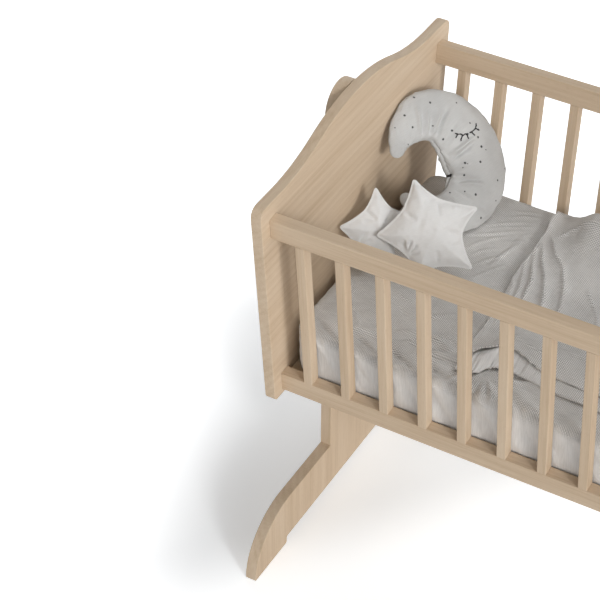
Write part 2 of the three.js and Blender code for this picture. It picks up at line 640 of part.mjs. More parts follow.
function starCushion(star) {
  const thick = star.thick;
  const frame = cushionFrame(star.pose);
  const outline = starOutline(star);
  const ring = (scale, depth) =>
    outline.map((p) => new THREE.Vector3(p.x * scale, p.y * scale, depth).applyMatrix4(frame));
  const crown = (scale) => thick * (1 - scale ** 2.4) ** 0.75;
  const scales = [0.3, 0.55, 0.75, 0.9];
  const back = scales.map((scale) => ring(scale, -crown(scale)));
  const front = scales.map((scale) => ring(scale, crown(scale))).reverse();
  const pole = (depth) => new THREE.Vector3(0, 0, depth).applyMatrix4(frame);
  return skin([...back, ring(1, 0), ...front], pole(-thick), pole(thick));
}

function bedding(cradle) {
  place(cradle, 'mattress', mattress(), sheeting());
  place(cradle, 'blanket', blanket(), coverCotton());
  place(cradle, 'moon_cushion', moonCushion(), dottedCotton());
  for (const [name, star] of Object.entries(STARS)) {
    place(cradle, name, starCushion(star), creamCotton());
  }
}

const cradle = new THREE.Group();
const stand = new THREE.Group();
for (const end of ENDS) {
  place(cradle, `${end.name}board`, endBoard(end), beech());
  place(stand, `stand_end_${end.name}`, standEnd(end), beech());
  pivot(end, cradle, stand);
  for (const side of SIDES) {
    place(cradle, `stop_peg_${end.name}_${side.name}`, stopPeg(end, side), beech());
  }
  stretcherBoltHeights().forEach((z, i) => {
    place(stand, `stretcher_bolt_${end.name}_${i === 0 ? 'lower' : 'upper'}`, stretcherBolt(end, z), steel());
  });
}
place(stand, 'stretcher', stretcher(), beech());
for (const side of SIDES) {
  cradle.add(slattedSide(side));
  place(cradle, `ledge_${side.name}`, ledge(side), beech());
}
place(cradle, 'mattress_base', mattressBase(), plywood());
bedding(cradle);

const bassinet = new THREE.Group();
bassinet.add(stand, cradle);

export default bassinet;
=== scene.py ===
import math

import bmesh
import bpy
import numpy as np
from mathutils import Matrix, Vector, noise
from mathutils.bvhtree import BVHTree
from mathutils.geometry import delaunay_2d_cdt


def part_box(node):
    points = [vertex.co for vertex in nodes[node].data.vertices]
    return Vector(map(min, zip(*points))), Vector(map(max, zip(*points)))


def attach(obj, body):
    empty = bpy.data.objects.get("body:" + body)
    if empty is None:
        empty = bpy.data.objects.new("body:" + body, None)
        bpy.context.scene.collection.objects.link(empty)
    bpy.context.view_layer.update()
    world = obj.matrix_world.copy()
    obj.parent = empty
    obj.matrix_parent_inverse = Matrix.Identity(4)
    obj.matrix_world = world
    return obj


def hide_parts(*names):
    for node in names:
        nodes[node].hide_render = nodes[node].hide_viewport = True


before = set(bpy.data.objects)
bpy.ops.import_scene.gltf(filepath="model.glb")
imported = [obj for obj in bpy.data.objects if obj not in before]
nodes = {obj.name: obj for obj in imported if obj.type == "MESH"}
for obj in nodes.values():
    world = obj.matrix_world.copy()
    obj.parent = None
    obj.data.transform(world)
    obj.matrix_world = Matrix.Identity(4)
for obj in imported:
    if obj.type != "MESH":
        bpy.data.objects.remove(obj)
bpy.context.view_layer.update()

# Camera: it stands off the near side, towards the foot end, and looks down on the head end, so
# that only the head half of the cradle is in view. Turn, tip and roll are in degrees.
camera_turn, camera_tip, camera_roll = 30.05, 39.99, -0.14
camera_place = (0.83995, -2.4133, 2.6960)
lens_length, film_width = 129.88, 36
far_limit = 60

camera_data = bpy.data.cameras.new("camera")
camera_data.sensor_width = film_width
camera_data.lens = lens_length
camera_data.clip_end = far_limit
camera = bpy.data.objects.new("camera", camera_data)
camera_axes = (
    Matrix.Rotation(math.radians(camera_turn), 3, "Z")
    @ Matrix.Rotation(math.radians(90 - camera_tip), 3, "X")
    @ Matrix.Rotation(math.radians(camera_roll), 3, "Z")
)
camera.location = camera_place
camera.rotation_euler = camera_axes.to_euler()
bpy.context.scene.collection.objects.link(camera)
bpy.context.scene.camera = camera


# Studio: a white floor that runs out of sight, a key lamp beyond the foot end, low soft lamps on
# that side, in front and behind, a soft one high behind and a dim even sky. Floor and sky show as
# white.
class Shade:
    """One socket of a finish. Sums on it add Math nodes, and node() adds any other node."""

    def __init__(self, tree, socket):
        self.tree = tree
        self.socket = socket

    def node(self, kind, settings=None, inputs=None, output=0):
        made = self.tree.nodes.new("ShaderNode" + kind)
        for name, value in (settings or {}).items():
            setattr(made, name, value)
        for name, value in (inputs or {}).items():
            if isinstance(value, Shade):
                self.tree.links.new(value.socket, made.inputs[name])
            else:
                made.inputs[name].default_value = value
        return Shade(self.tree, made.outputs[output])

    def output(self, name):
        """Another output of the same node."""
        return Shade(self.tree, self.socket.node.outputs[name])

    def math(self, operation, other=0.0):
        return self.node("Math", {"operation": operation}, {0: self, 1: other})

    def __add__(self, other):
        return self.math("ADD", other)

    def __sub__(self, other):
        return self.math("SUBTRACT", other)

    def __rsub__(self, other):
        return self.node("Math", {"operation": "SUBTRACT"}, {0: other, 1: self})

    def __mul__(self, other):
        return self.math("MULTIPLY", other)

    def __truediv__(self, other):
        return self.math("DIVIDE", other)

    def __rtruediv__(self, other):
        return self.node("Math", {"operation": "DIVIDE"}, {0: other, 1: self})

    __radd__ = __add__
    __rmul__ = __mul__

    def between(self, low, high):
        """0 below low, 1 above high, smooth in between."""
        settings = {"interpolation_type": "SMOOTHSTEP"}
        return self.node("MapRange", settings, {"Value": self, "From Min": low, "From Max": high})

    def blend(self, first, second):
        """A colour between two, with this as the share of the second."""
        inputs = {0: self, 6: first, 7: second}
        return self.node("Mix", {"data_type": "RGBA"}, inputs, output=2)

    def feed(self, node, name):
        self.tree.links.new(self.socket, node.inputs[name])


def new_finish(name):
    """A new finish, the node of its surface and a first socket to work from."""
    finish = bpy.data.materials.new(name)
    finish.use_nodes = True
    surface = finish.node_tree.nodes["Principled BSDF"]
    return finish, surface, Shade(finish.node_tree, surface.outputs[0])


def piece(name, points, faces, finish):
    mesh = bpy.data.meshes.new(name)
    mesh.from_pydata([tuple(map(float, p)) for p in points], [], [tuple(map(int, f)) for f in faces])
    mesh.materials.append(finish)
    mesh.polygons.foreach_set("use_smooth", [True] * len(mesh.polygons))
    made = bpy.data.objects.new(name, mesh)
    bpy.context.scene.collection.objects.link(made)
    return made


floor_paint = (0.84, 0.84, 0.84, 1)
floor_shown = (0.92, 0.95, 0.98, 1)
floor_reach, floor_drop = 30, 0.0004
# Seen from the camera, the floor glows white. Beyond the head end, in front and behind, it has more of
# this painted light, which fades the lamps' shadows out there.
head_glow, front_glow, behind_glow, even_glow = 0.40, 0.28, 0.42, 0.28

floor_finish, floor_surface, floor_start = new_finish("white_floor")
floor_surface.inputs["Base Color"].default_value = floor_paint
floor_surface.inputs["Roughness"].default_value = 0.9
floor_surface.inputs["Specular IOR Level"].default_value = 0.1
in_view = floor_start.node("LightPath")
seen = in_view.math("MAXIMUM", in_view.output("Is Glossy Ray"))
floor_x = floor_start.node("SeparateXYZ", None, {0: floor_start.node("TexCoord", output="Object")})
floor_y = floor_x.output("Y")
past_head = (0 - floor_x - floor_y * 0.34).between(0.66, 0.88)
in_front = (floor_x * 0.78 - floor_y * 0.62).between(-0.30, -0.12)
behind_it = floor_y.between(0.25, 0.55)
glow = past_head * head_glow + in_front * front_glow + behind_it * behind_glow + even_glow
shown_floor = floor_start.node("BsdfDiffuse", None, {"Color": floor_shown})
white_light = floor_start.node("Emission", None, {"Strength": 1.0})
lit_floor = floor_start.node("AddShader", None, {0: shown_floor, 1: white_light})
lifted_floor = floor_start.node("MixShader", None, {0: glow, 1: shown_floor, 2: lit_floor})
floor_look = floor_start.node("MixShader", None, {0: seen, 1: floor_start, 2: lifted_floor})
floor_look.feed(floor_finish.node_tree.nodes["Material Output"], "Surface")
floor_corners = ((-1, -1), (1, -1), (1, 1), (-1, 1))
floor_spots = [(x * floor_reach, y * floor_reach, -floor_drop) for x, y in floor_corners]
floor = piece("floor", floor_spots, [(0, 1, 2, 3)], floor_finish)

# Each lamp has its turn, its height and its softness in degrees, with its strength in between.
for lamp_name, lamp_turn, lamp_height, lamp_strength, lamp_softness in (
    ("key_lamp", 60, 24, 1.05, 12),
    ("side_lamp", 57, 10, 1.45, 50),
    ("fill_lamp", -10, 25, 0.46, 60),
    ("back_lamp", 130, 58, 0.98, 45),
    ("rear_lamp", 218, 8, 1.15, 40),
):
    lamp_data = bpy.data.lights.new(lamp_name, "SUN")
    lamp_data.energy = lamp_strength
    lamp_data.angle = math.radians(lamp_softness)
    lamp = bpy.data.objects.new(lamp_name, lamp_data)
    lamp.rotation_euler = (math.radians(90 - lamp_height), 0, math.radians(lamp_turn))
    bpy.context.scene.collection.objects.link(lamp)

sky_strength = 0.12
sky = bpy.data.worlds.new("sky")
sky.use_nodes = True
sky_light = sky.node_tree.nodes["Background"]
sky_light.inputs["Color"].default_value = (1, 1, 1, 1)
sky_light.inputs["Strength"].default_value = sky_strength
sky_start = Shade(sky.node_tree, sky_light.outputs[0])
sky_shown = sky_start.node("Background", None, {"Color": (1, 1, 1, 1), "Strength": 1.0})
sky_look = sky_start.node("MixShader", None, {0: sky_start.node("LightPath"), 1: sky_start, 2: sky_shown})
sky_look.feed(sky.node_tree.nodes["World Output"], "Surface")
bpy.context.scene.world = sky
bpy.context.scene.view_settings.view_transform = "Standard"


# End boards: two camel-back boards of solid beech, 18 mm thick, sanded and given a clear satin
# lacquer. Their grain runs across the cradle. The rails are screwed to them from outside.
beech_light = (0.670, 0.545, 0.411, 1)
beech_plain = (0.610, 0.477, 0.342, 1)
beech_dark = (0.520, 0.391, 0.268, 1)
beech_fleck = (0.430, 0.300, 0.190, 1)
pith_aside, pith_under, ring_rate, ring_waver = 0.11, 0.04, 26.0, 2.2
# How much of the tone comes from each part of the grain, and how far a row's pieces differ.
base_share, band_share, streak_share, ring_share, row_share = 0.11, 0.32, 0.30, 0.18, 0.22
fleck_share, streak_gloss, beech_gloss = 0.22, 0.10, 0.50


def beech(name, order="xyz", lean=0.0, row=None, figure=1.0):
    """Beech with its grain along the first axis of the order. Leaning pieces have grain that leans
    with them, and row gives the pitch and start of a row, each piece with a tone of its own."""
    finish, surface, start = new_finish(name)
    split = start.node("SeparateXYZ", None, {0: start.node("TexCoord", output="Object")})
    axes = {axis: split.output(axis.upper()) for axis in "xyz"}
    if lean:
        axes["y"] = axes["y"].math("ABSOLUTE") - axes["z"] * lean
    along, across, deep = (axes[axis] for axis in order)
    if row:
        pitch, first = row
        number = ((axes["x"] - first) / pitch).math("FLOOR")
        side = split.output("Y").math("SIGN")
        seed = start.node("CombineXYZ", None, {0: number, 1: side, 2: 0.5})
        tone = start.node("TexWhiteNoise", None, {0: seed}, output="Value")
        along = along + tone * 3.0
        across = across + tone * 0.7

    def fibres(stretch, fine, detail):
        spot = start.node("CombineXYZ", None, {0: along * stretch, 1: across * fine, 2: deep * fine})
        return start.node("TexNoise", None, {"Vector": spot, "Scale": 1.0, "Detail": detail})

    bands = fibres(2.2, 30, 6).between(0.3, 0.7)
    streaks = fibres(9, 330, 3).between(0.25, 0.75)
    flecks = fibres(85, 900, 1).between(0.60, 0.72)
    pith = start.node("CombineXYZ", None, {0: along * 0.09, 1: across - pith_aside, 2: deep + pith_under})
    waves = {"wave_type": "RINGS", "rings_direction": "X", "wave_profile": "SIN"}
    shape = {
        "Vector": pith, "Scale": ring_rate, "Distortion": ring_waver, "Detail": 2.0, "Detail Scale": 2.4,
    }
    rings = start.node("TexWave", waves, shape, output="Fac")
    share = bands * band_share + streaks * streak_share + rings * (ring_share * figure) + base_share
    if row:
        share = share + tone * row_share - row_share / 2
    lower = share.between(0.0, 0.55).blend(beech_dark, beech_plain)
    colour = share.between(0.40, 1.0).blend(lower, beech_light)
    (flecks * fleck_share).blend(colour, beech_fleck).feed(surface, "Base Color")
    (streaks * streak_gloss + beech_gloss).feed(surface, "Roughness")
    surface.inputs["Specular IOR Level"].default_value = 0.10
    height = streaks * 0.6 - flecks * 0.8
    bump = start.node("Bump", None, {"Height": height, "Strength": 0.25, "Distance": 0.0004})
    bump.feed(surface, "Normal")
    return finish


def dress(names, finish):
    for name in names:
        nodes[name].material_slots[0].material = finish


dress(["headboard", "footboard"], beech("beech_boards", order="yzx"))

# Side rails and ledges: square beech rails with a slight round on their edges, butted to the end
# boards. Their grain runs along the cradle, as it does in the ledges under the mattress base.
rails = [f"{level}_rail_{side}" for level in ("top", "low") for side in ("near", "far")]
dress(rails + ["ledge_near", "ledge_far"], beech("beech_rails", order="xyz", figure=0.5))

# Slats: thirteen square beech slats a side, tenoned into the rails and leaning out with them.
# Their grain runs up, and each is cut from a different board, so the tones differ a little. A
# slat's place in the row starts halfway across the gap before it.
head_inside = -0.447
slat_pitch, first_slat, half_gap = 0.06642, 0.041, 0.0257
side_lean = math.tan(math.radians(5.2))
slats = [f"slat_{side}_{number:02d}" for side in ("near", "far") for number in range(1, 14)]
slat_row = (slat_pitch, head_inside + first_slat - half_gap)
dress(slats, beech("beech_slats", order="zxy", lean=side_lean, row=slat_row, figure=0.5))

# Stand: two beech ends, each an upside-down T sawn from one wide board with upright grain, and a
# beech stretcher between them. Turned pegs in the end boards stop the swing.
dress(["stand_end_head", "stand_end_foot"], beech("beech_stand", order="zyx"))
dress(["stretcher"], beech("beech_stretcher", order="xzy"))
pegs = [f"stop_peg_{end}_{side}" for end in ("head", "foot") for side in ("near", "far")]
dress(pegs, beech("beech_pegs", order="xyz", figure=0.3))

# Mattress base: birch plywood with round-ended vents, its face veneer running along the cradle
# and its layers showing as stripes at the sawn edges.
ply_pitch = 0.0032
ply_glue, birch = (0.36, 0.24, 0.14, 1), (0.74, 0.63, 0.45, 1)


def plywood(name):
    finish = beech(name, order="xyz", figure=0.8)
    surface = finish.node_tree.nodes["Principled BSDF"]
    veneer = Shade(finish.node_tree, surface.inputs["Base Color"].links[0].from_socket)
    split = veneer.node("SeparateXYZ", None, {0: veneer.node("TexCoord", output="Object")})
    facing = veneer.node("NewGeometry", output="Normal")
    upright = veneer.node("SeparateXYZ", None, {0: facing}, output="Z")
    edge = 1 - upright.math("ABSOLUTE").between(0.4, 0.6)
    layers = (split.output("Z") * (math.tau / ply_pitch)).math("SINE")
    striped = (layers.between(-0.4, 0.4) * edge * 0.55).blend(veneer, ply_glue)
    paler = striped.node("Mix", {"data_type": "RGBA"}, {0: 0.35, 6: striped, 7: birch}, output=2)
    paler.feed(surface, "Base Color")
    return finish


dress(["mattress_base"], plywood("plywood"))


# Metal and plastic fittings: zinc-plated pivot and stretcher bolts, turned brass inserts, and
# nylon bushes and washers that keep the wood from rubbing.
def fitting(name, colour, metallic, roughness, turning):
    """A worn metal or plastic with fine marks from its turning, so many to the metre."""
    finish, surface, start = new_finish(name)
    place = start.node("TexCoord", output="Object")
    stretched = start.node("Mapping", None, {"Vector": place, "Scale": (turning, 60, 60)})
    marks = start.node("TexNoise", None, {"Vector": stretched, "Scale": 1.0, "Detail": 3.0})
    cloud = start.node("TexNoise", None, {"Vector": place, "Scale": 180.0, "Detail": 2.0})
    worn = tuple(value * 0.82 for value in colour[:3]) + (1,)
    cloud.between(0.35, 0.7).blend(colour, worn).feed(surface, "Base Color")
    surface.inputs["Metallic"].default_value = metallic
    (marks.between(0.3, 0.7) * 0.16 + roughness).feed(surface, "Roughness")
    bump = start.node("Bump", None, {"Height": marks, "Strength": 0.15, "Distance": 0.0002})
    bump.feed(surface, "Normal")
    return finish


zinc = fitting("zinc_plate", (0.66, 0.67, 0.68, 1), 1.0, 0.28, 900)
turned_brass = fitting("turned_brass", (0.66, 0.50, 0.24, 1), 1.0, 0.30, 900)
nylon = fitting("natural_nylon", (0.80, 0.78, 0.72, 1), 0.0, 0.45, 300)
ends = ("head", "foot")
dress([f"pivot_bolt_{end}" for end in ends], zinc)
dress([f"stretcher_bolt_{end}_{level}" for end in ends for level in ("lower", "upper")], zinc)
dress([f"pivot_insert_{end}" for end in ends], turned_brass)
dress([f"pivot_bush_{end}" for end in ends] + [f"pivot_washer_{end}" for end in ends], nylon)


# Mattress: foam in a fitted sheet of grey cotton, woven with a fine crossed hatch on top and plain
# and paler down the leaning sides. It is creased by the cushions and drags into soft folds.
hatch_edge, hatch_middle, worn_share = 0.38, 0.44, 0.65
threads_per_hatch, thread_share, slub_share = 2.6, 0.08, 0.14


def cotton(name, light, dark, weave_pitch, figure, mottle=0.20, plain=None):
    """Cotton cloth, drawn on the piece's own cloth map in metres, with a fine woven hatch that is
    worn fainter in places. Where the piece's "plain" share is 1, it has the plain colour."""
    finish, surface, start = new_finish(name)
    cloth = start.node("UVMap", {"uv_map": "cloth"})
    u = start.node("SeparateXYZ", None, {0: cloth})
    v = u.output("Y")
    rate = math.tau / weave_pitch
    hatch = ((u + v) * rate).math("SINE") * ((u - v) * rate).math("SINE")
    fine_rate = rate * threads_per_hatch
    threads = (u * fine_rate).math("SINE") * (v * fine_rate).math("SINE")
    slub_spot = start.node("Mapping", None, {"Vector": cloth, "Scale": (60, 900, 1)})
    slub = start.node("TexNoise", None, {"Vector": slub_spot, "Scale": 1.0, "Detail": 2.0})
    cloud = start.node("TexNoise", None, {"Vector": cloth, "Scale": 9.0, "Detail": 3.0}).between(0.3, 0.7)
    worn = start.node("TexNoise", None, {"Vector": cloth, "Scale": 24.0, "Detail": 2.0})
    strength = (worn.between(0.36, 0.64) * worn_share + (1 - worn_share)) * figure
    share = (hatch.between(-hatch_edge, hatch_edge) - 0.5) * strength + figure * hatch_middle
    share = share + threads * thread_share + slub.between(0.3, 0.7) * slub_share
    tinted = (share + cloud * mottle - mottle * 0.3).blend(light, dark)
    # The plain colour is the sheet's plain knit side, and on the blanket a pale band of painted light.
    if plain:
        here = start.node("Attribute", {"attribute_name": "plain"}, output="Fac")
        fine_spot = start.node("Mapping", None, {"Vector": cloth, "Scale": (420, 45, 1)})
        fine = start.node("TexNoise", None, {"Vector": fine_spot, "Scale": 1.0, "Detail": 3.0})
        plain_knit_and_painted_light = (fine.between(0.3, 0.7) * 0.15 + cloud * 0.08).blend(plain, dark)
        tinted = here.blend(tinted, plain_knit_and_painted_light)
    tinted.feed(surface, "Base Color")
    surface.inputs["Roughness"].default_value = 0.92
    surface.inputs["Specular IOR Level"].default_value = 0.2
    surface.inputs["Sheen Weight"].default_value = 0.12
    surface.inputs["Sheen Roughness"].default_value = 0.5
    height = hatch * 0.35 + threads * 0.6 + slub * 0.5
    bump = start.node("Bump", None, {"Height": height, "Strength": 0.35, "Distance": 0.0004})
    bump.feed(surface, "Normal")
    return finish


def cloth_map(made, spots):
    """Lays the piece's cloth out flat: one spot in metres for each of its points."""
    layer = made.data.uv_layers.new(name="cloth")
    corners = np.empty(len(made.data.loops), dtype=np.int64)
    made.data.loops.foreach_get("vertex_index", corners)
    layer.data.foreach_set("uv", np.asarray(spots, dtype=np.float32)[corners].ravel())


def mark_plain(made, share):
    """Gives each of the piece's points its share of the plain colour, from 0 to 1."""
    layer = made.data.attributes.new("plain", "FLOAT", "POINT")
    layer.data.foreach_set("value", np.asarray(share, dtype=np.float32).ravel())


def rows_of(mesh, field):
    """The places ("co") or outward directions ("normal") of a mesh's points, as rows."""
    out = np.empty(len(mesh.vertices) * 3)
    mesh.vertices.foreach_get(field, out)
    return out.reshape(-1, 3)


def bell(away, width):
    """1 where away is 0, fading out smoothly to both sides within about twice the width."""
    return np.exp(-((away / width) ** 2))


def eased(share):
    """The share, kept from 0 to 1, with a smooth start and end."""
    share = np.clip(share, 0, 1)
    return share * share * (3 - 2 * share)


def along_fold(x, y, line, spread, rise, tail=0.35):
    """Height of a fold along a line of points, fading out over its tail at each end. The line, the
    spread to each side and the rise are in millimetres."""
    line = np.asarray(line, dtype=float) / 1000
    steps = np.hypot(*np.diff(line, axis=0).T)
    gone = np.concatenate([[0], np.cumsum(steps)])
    nearest = np.full(x.shape, np.inf)
    travelled = np.zeros(x.shape)
    for k in range(len(steps)):
        run = line[k + 1] - line[k]
        share = ((x - line[k, 0]) * run[0] + (y - line[k, 1]) * run[1]) / steps[k] ** 2
        share = np.clip(share, 0, 1)
        away = np.hypot(x - line[k, 0] - share * run[0], y - line[k, 1] - share * run[1])
        closer = away < nearest
        nearest = np.where(closer, away, nearest)
        travelled = np.where(closer, gone[k] + share * steps[k], travelled)
    end = np.minimum(travelled, gone[-1] - travelled) / (gone[-1] * tail)
    return rise / 1000 * bell(nearest, spread / 1000) * eased(end)


def ripple(points, size, seed):
    """Smooth random heights from -1 to 1 with bumps of about the size given, in metres."""
    shift = Vector((seed * 7.1, seed * 3.3, seed * 1.7))
    return np.array([noise.fractal(Vector(p) / size + shift, 0.9, 2.0, 3) for p in points])


bedding_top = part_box("mattress")[1][2]
sheet_skin = 0.0031
wave_rise, wave_size = 0.0014, 0.09
crinkle_rise, crinkle_size = 0.0007, 0.011
side_fold_rise, side_fold_size = 0.0056, 0.034
pucker_rise, pucker_size, pucker_drop, pucker_spread = 0.0030, 0.014, 0.014, 0.020
# The sheet drags towards the blanket's near corner, and is plain below the rim, in a wavering line.
knot_x, knot_y, knot_clear = -0.128, -0.186, 0.035
drag_rise, drag_size, drag_reach = 0.0062, 0.0095, 0.15
plain_drop, plain_waver, plain_blend = 0.006, 0.012, 0.020
crease_share = 0.8
# Each crease has its line, its spread and its rise, in millimetres.
sheet_creases = (
    ([(-315, 95), (-288, 110), (-267, 124), (-245, 141), (-219, 162)], 2.6, 2.6),
    ([(-313, 91), (-286, 105), (-264, 119), (-243, 136)], 2, -1.8),
    ([(-290, 136), (-270, 150), (-243, 169), (-210, 184)], 2.6, 2.4),
    ([(-290, 131), (-270, 145), (-243, 163)], 2, -1.8),
    ([(-292, 60), (-277, 91), (-261, 112), (-236, 136)], 2.6, 2.4),
    ([(-240, 20), (-230, 79), (-224, 104), (-223, 138), (-206, 172)], 2.2, 2.6),
    ([(-232, 30), (-226, 92), (-219, 114), (-216, 147), (-200, 163)], 2.2, 2.2),
    ([(-280, 139), (-242, 156), (-206, 178)], 2.4, 1.8),
    ([(-272, 190), (-239, 203), (-205, 216)], 3, 2.2),
    ([(-272, 166), (-244, 187), (-206, 203)], 3, 2.2),
    ([(-280, 48), (-260, 79), (-236, 97)], 2.6, 2),
    ([(-265, 28), (-241, 65), (-214, 90)], 2.6, 2.2),
    ([(-252, -8), (-230, 38), (-205, 70)], 2.6, 2),
    ([(-244, 112), (-218, 128), (-190, 131)], 2.6, 1.6),
    ([(-300, -129), (-287, -125), (-269, -118), (-246, -103), (-220, -80)], 3, 4),
    ([(-296, -135), (-269, -126), (-240, -108)], 2, -1.8),
    ([(-355, -70), (-314, -91), (-286, -94)], 3.4, 2.4),
    ([(-362, -197), (-332, -190), (-303, -194)], 3, 2.6),
    ([(-305, -176), (-271, -158), (-243, -154), (-195, -146)], 3.4, 4),
    ([(-300, -190), (-262, -176), (-226, -179), (-176, -184)], 3, 3.6),
    ([(-415, -196), (-403, -206), (-380, -218), (-352, -236)], 3.8, -5.2),
    ([(-352, -198), (-333, -208), (-310, -219), (-288, -232)], 3.8, -5.2),
    ([(-292, -198), (-276, -207), (-250, -219), (-218, -236)], 3.8, -5.6),
    ([(-226, -204), (-205, -212), (-183, -219), (-155, -232)], 3.8, -5.2),
    ([(-332, -104), (-308, -117), (-281, -134)], 3.6, -3.4),
    ([(-297, -190), (-285, -187), (-255, -168), (-235, -152), (-205, -140)], 3, -4.4),
    ([(-296, -168), (-277, -161), (-256, -158), (-230, -157), (-200, -152)], 4.8, 4.6),
    ([(-270, -186), (-234, -178), (-222, -176), (-188, -165), (-165, -158)], 3, -4.4),
    ([(-253, -214), (-239, -202), (-215, -190), (-197, -193), (-168, -199)], 3.2, -4.6),
    ([(-255, -205), (-232, -192), (-210, -184), (-180, -182), (-160, -186)], 4, 4),
    ([(-212, -222), (-197, -212), (-176, -204), (-158, -200)], 3, -4),
    ([(-370, -206), (-350, -204), (-315, -198), (-290, -199), (-262, -196)], 4, -3.4),
    ([(-380, -196), (-345, -190), (-312, -184), (-286, -180)], 6, 4),
    ([(-425, -60), (-400, -110), (-375, -150)], 4, 2.6),
    ([(-405, -120), (-360, -165), (-330, -205)], 4, 2.8),
)


def fitted_sheet():
    """The mattress with an even skin, its flat underside left as one face, creased and folded."""
    copy = nodes["mattress"].copy()
    copy.data = nodes["mattress"].data.copy()
    bpy.context.scene.collection.objects.link(copy)
    remesh = copy.modifiers.new("even", "REMESH")
    remesh.mode = "VOXEL"
    remesh.voxel_size = sheet_skin
    even = bpy.data.meshes.new_from_object(copy.evaluated_get(bpy.context.evaluated_depsgraph_get()))
    bpy.data.objects.remove(copy)
    shape = bmesh.new()
    shape.from_mesh(even)
    flat = [edge for edge in shape.edges if all(face.normal.z < -0.98 for face in edge.link_faces)]
    bmesh.ops.dissolve_edges(shape, edges=flat, use_verts=True)
    shape.to_mesh(even)
    shape.free()
    spots, normals = rows_of(even, "co"), rows_of(even, "normal")
    faces = [tuple(face.vertices) for face in even.polygons]
    bpy.data.meshes.remove(even)
    x, y, z = spots.T
    drop = bedding_top - z
    side = np.clip(1 - np.abs(normals[:, 2]) * 1.4, 0, 1)
    top = np.clip(normals[:, 2] * 1.6 - 0.4, 0, 1)
    lift = wave_rise * ripple(spots, wave_size, 1)
    for line, spread, rise in sheet_creases:
        lift += along_fold(x, y, line, spread * crease_share, rise * crease_share)
    fine = np.stack([x * 0.35 + y * 0.20, y - x * 0.55, z * 0], axis=1)
    lift += crinkle_rise * ripple(fine, crinkle_size, 6) * np.clip((0.02 - y) / 0.1, 0.25, 1)
    from_knot, turn_of = np.hypot(x - knot_x, y - knot_y), np.arctan2(y - knot_y, x - knot_x)
    drags = ripple(np.stack([turn_of * 0.06, from_knot * 0.10, z * 0], axis=1), drag_size, 14)
    lift += drag_rise * drags * np.clip(from_knot / knot_clear, 0, 1) * bell(from_knot, drag_reach)
    round_side = np.where(np.abs(y) > 0.19, x, x * 0.25 + y)
    slanted = np.stack([round_side - drop * 0.55, drop * 0.14, np.sign(y) * 0.5], axis=1)
    folds = ripple(slanted, side_fold_size, 2)
    puckers = ripple(np.stack([round_side - drop, drop * 0.6, np.sign(y)], axis=1), pucker_size, 3)
    puckers *= bell(drop - pucker_drop, pucker_spread)
    out = side * (side_fold_rise * folds + pucker_rise * puckers)
    under = np.clip(-normals[:, 2] * 2, 0, 1)
    moved = spots + normals * (out + top * lift)[:, None] * (1 - under)[:, None]
    made = piece("mattress_in_sheet", moved, faces, sheet_cotton)
    turn_x = np.clip(np.abs(normals[:, 0]) * 1.3, 0, 1)
    turn_y = np.clip(np.abs(normals[:, 1]) * 1.3, 0, 1) * (1 - turn_x)
    cloth_map(made, np.stack([x + np.sign(x) * drop * turn_x, y + np.sign(y) * drop * turn_y], axis=1))
    mark_plain(made, np.clip((drop - plain_drop + plain_waver * folds) / plain_blend, 0, 1))
    return made


sheet_cotton = cotton(
    "sheet_cotton", (0.92, 0.91, 0.893, 1), (0.30, 0.291, 0.278, 1), weave_pitch=0.0051, figure=0.9,
    plain=(0.84, 0.832, 0.82, 1),
)
mattress = fitted_sheet()
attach(mattress, "cradle")
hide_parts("mattress")


# Blanket: a light cotton blanket in the same grey weave, folded double with the fold at the far
# side. Its two near hems lie one behind the other, and its head end is pushed back into folds. Where
# the near corner is pushed up, the lower leaf has a pale band of painted light behind its hem.
hem_near = np.array([
    (-0.150, -0.204), (-0.141, -0.201), (-0.128, -0.178), (-0.112, -0.170), (-0.092, -0.169),
    (-0.044, -0.175), (-0.016, -0.178), (0.056, -0.182), (0.200, -0.190), (0.419, -0.196),
])
upper_hem_near = np.array([
    (-0.158, -0.172), (-0.150, -0.158), (-0.126, -0.143), (-0.107, -0.140), (-0.057, -0.149),
    (0.010, -0.153), (0.120, -0.158), (0.260, -0.166), (0.419, -0.170),
])
edge_head = np.array([
    (-0.172, -0.160), (-0.174, -0.090), (-0.180, -0.009), (-0.187, 0.032), (-0.188, 0.070),
    (-0.188, 0.109), (-0.190, 0.137), (-0.191, 0.167), (-0.197, 0.193), (-0.196, 0.222),
])
# Each fold has its line, its spread and its rise, in millimetres.
blanket_folds = (
    ([(-192, 150), (-181, 128), (-163, 86), (-138, 43), (-117, -10), (-104, -85)], 8, 15),
    ([(-190, 170), (-176, 150), (-147, 105), (-124, 80), (-102, 36), (-88, -10), (-80, -90)], 9, 17),
    ([(-198, 130), (-184, 104), (-169, 63), (-156, 32), (-146, -30)], 6.2, 11),
    ([(-198, 90), (-182, 60), (-166, 11), (-156, -55)], 6.2, 10),
    ([(-196, 45), (-178, 10), (-168, -40), (-160, -100)], 6, 9),
    ([(-175, 143), (-158, 165), (-137, 182), (-100, 186), (-50, 170)], 8, 8),
    ([(-60, 190), (20, 120), (70, 20), (90, -80)], 22, 9),
    ([(-75, 60), (-30, 0), (0, -70)], 12, 8),
    ([(120, 200), (210, 90), (250, -60)], 26, 10),
    ([(300, 200), (330, 60), (390, -90)], 22, 9),
    ([(-140, -104), (-80, -122), (-10, -114)], 9, 6),
    ([(-60, -90), (10, -100), (80, -84)], 10, 5),
)
blanket_thick, blanket_clear, leaf_clear = 0.0030, 0.0010, 0.0014
far_fold_y, foot_edge_x, leaf_inset = 0.218, 0.416, 0.0015
far_fold_room, hem_room = 0.014, 0.012
# Near its corner the blanket is pushed up behind its hems. Beyond that, the hems lie flat.
pushed_x, pushed_spread, pushed_rise = -0.118, 0.052, 0.016
pushed_start, pushed_end, pushed_fall = 0.030, 0.105, 0.075
flat_from, flat_blend, flat_sink, flat_sink_width = -0.085, 0.035, 0.0011, 0.008
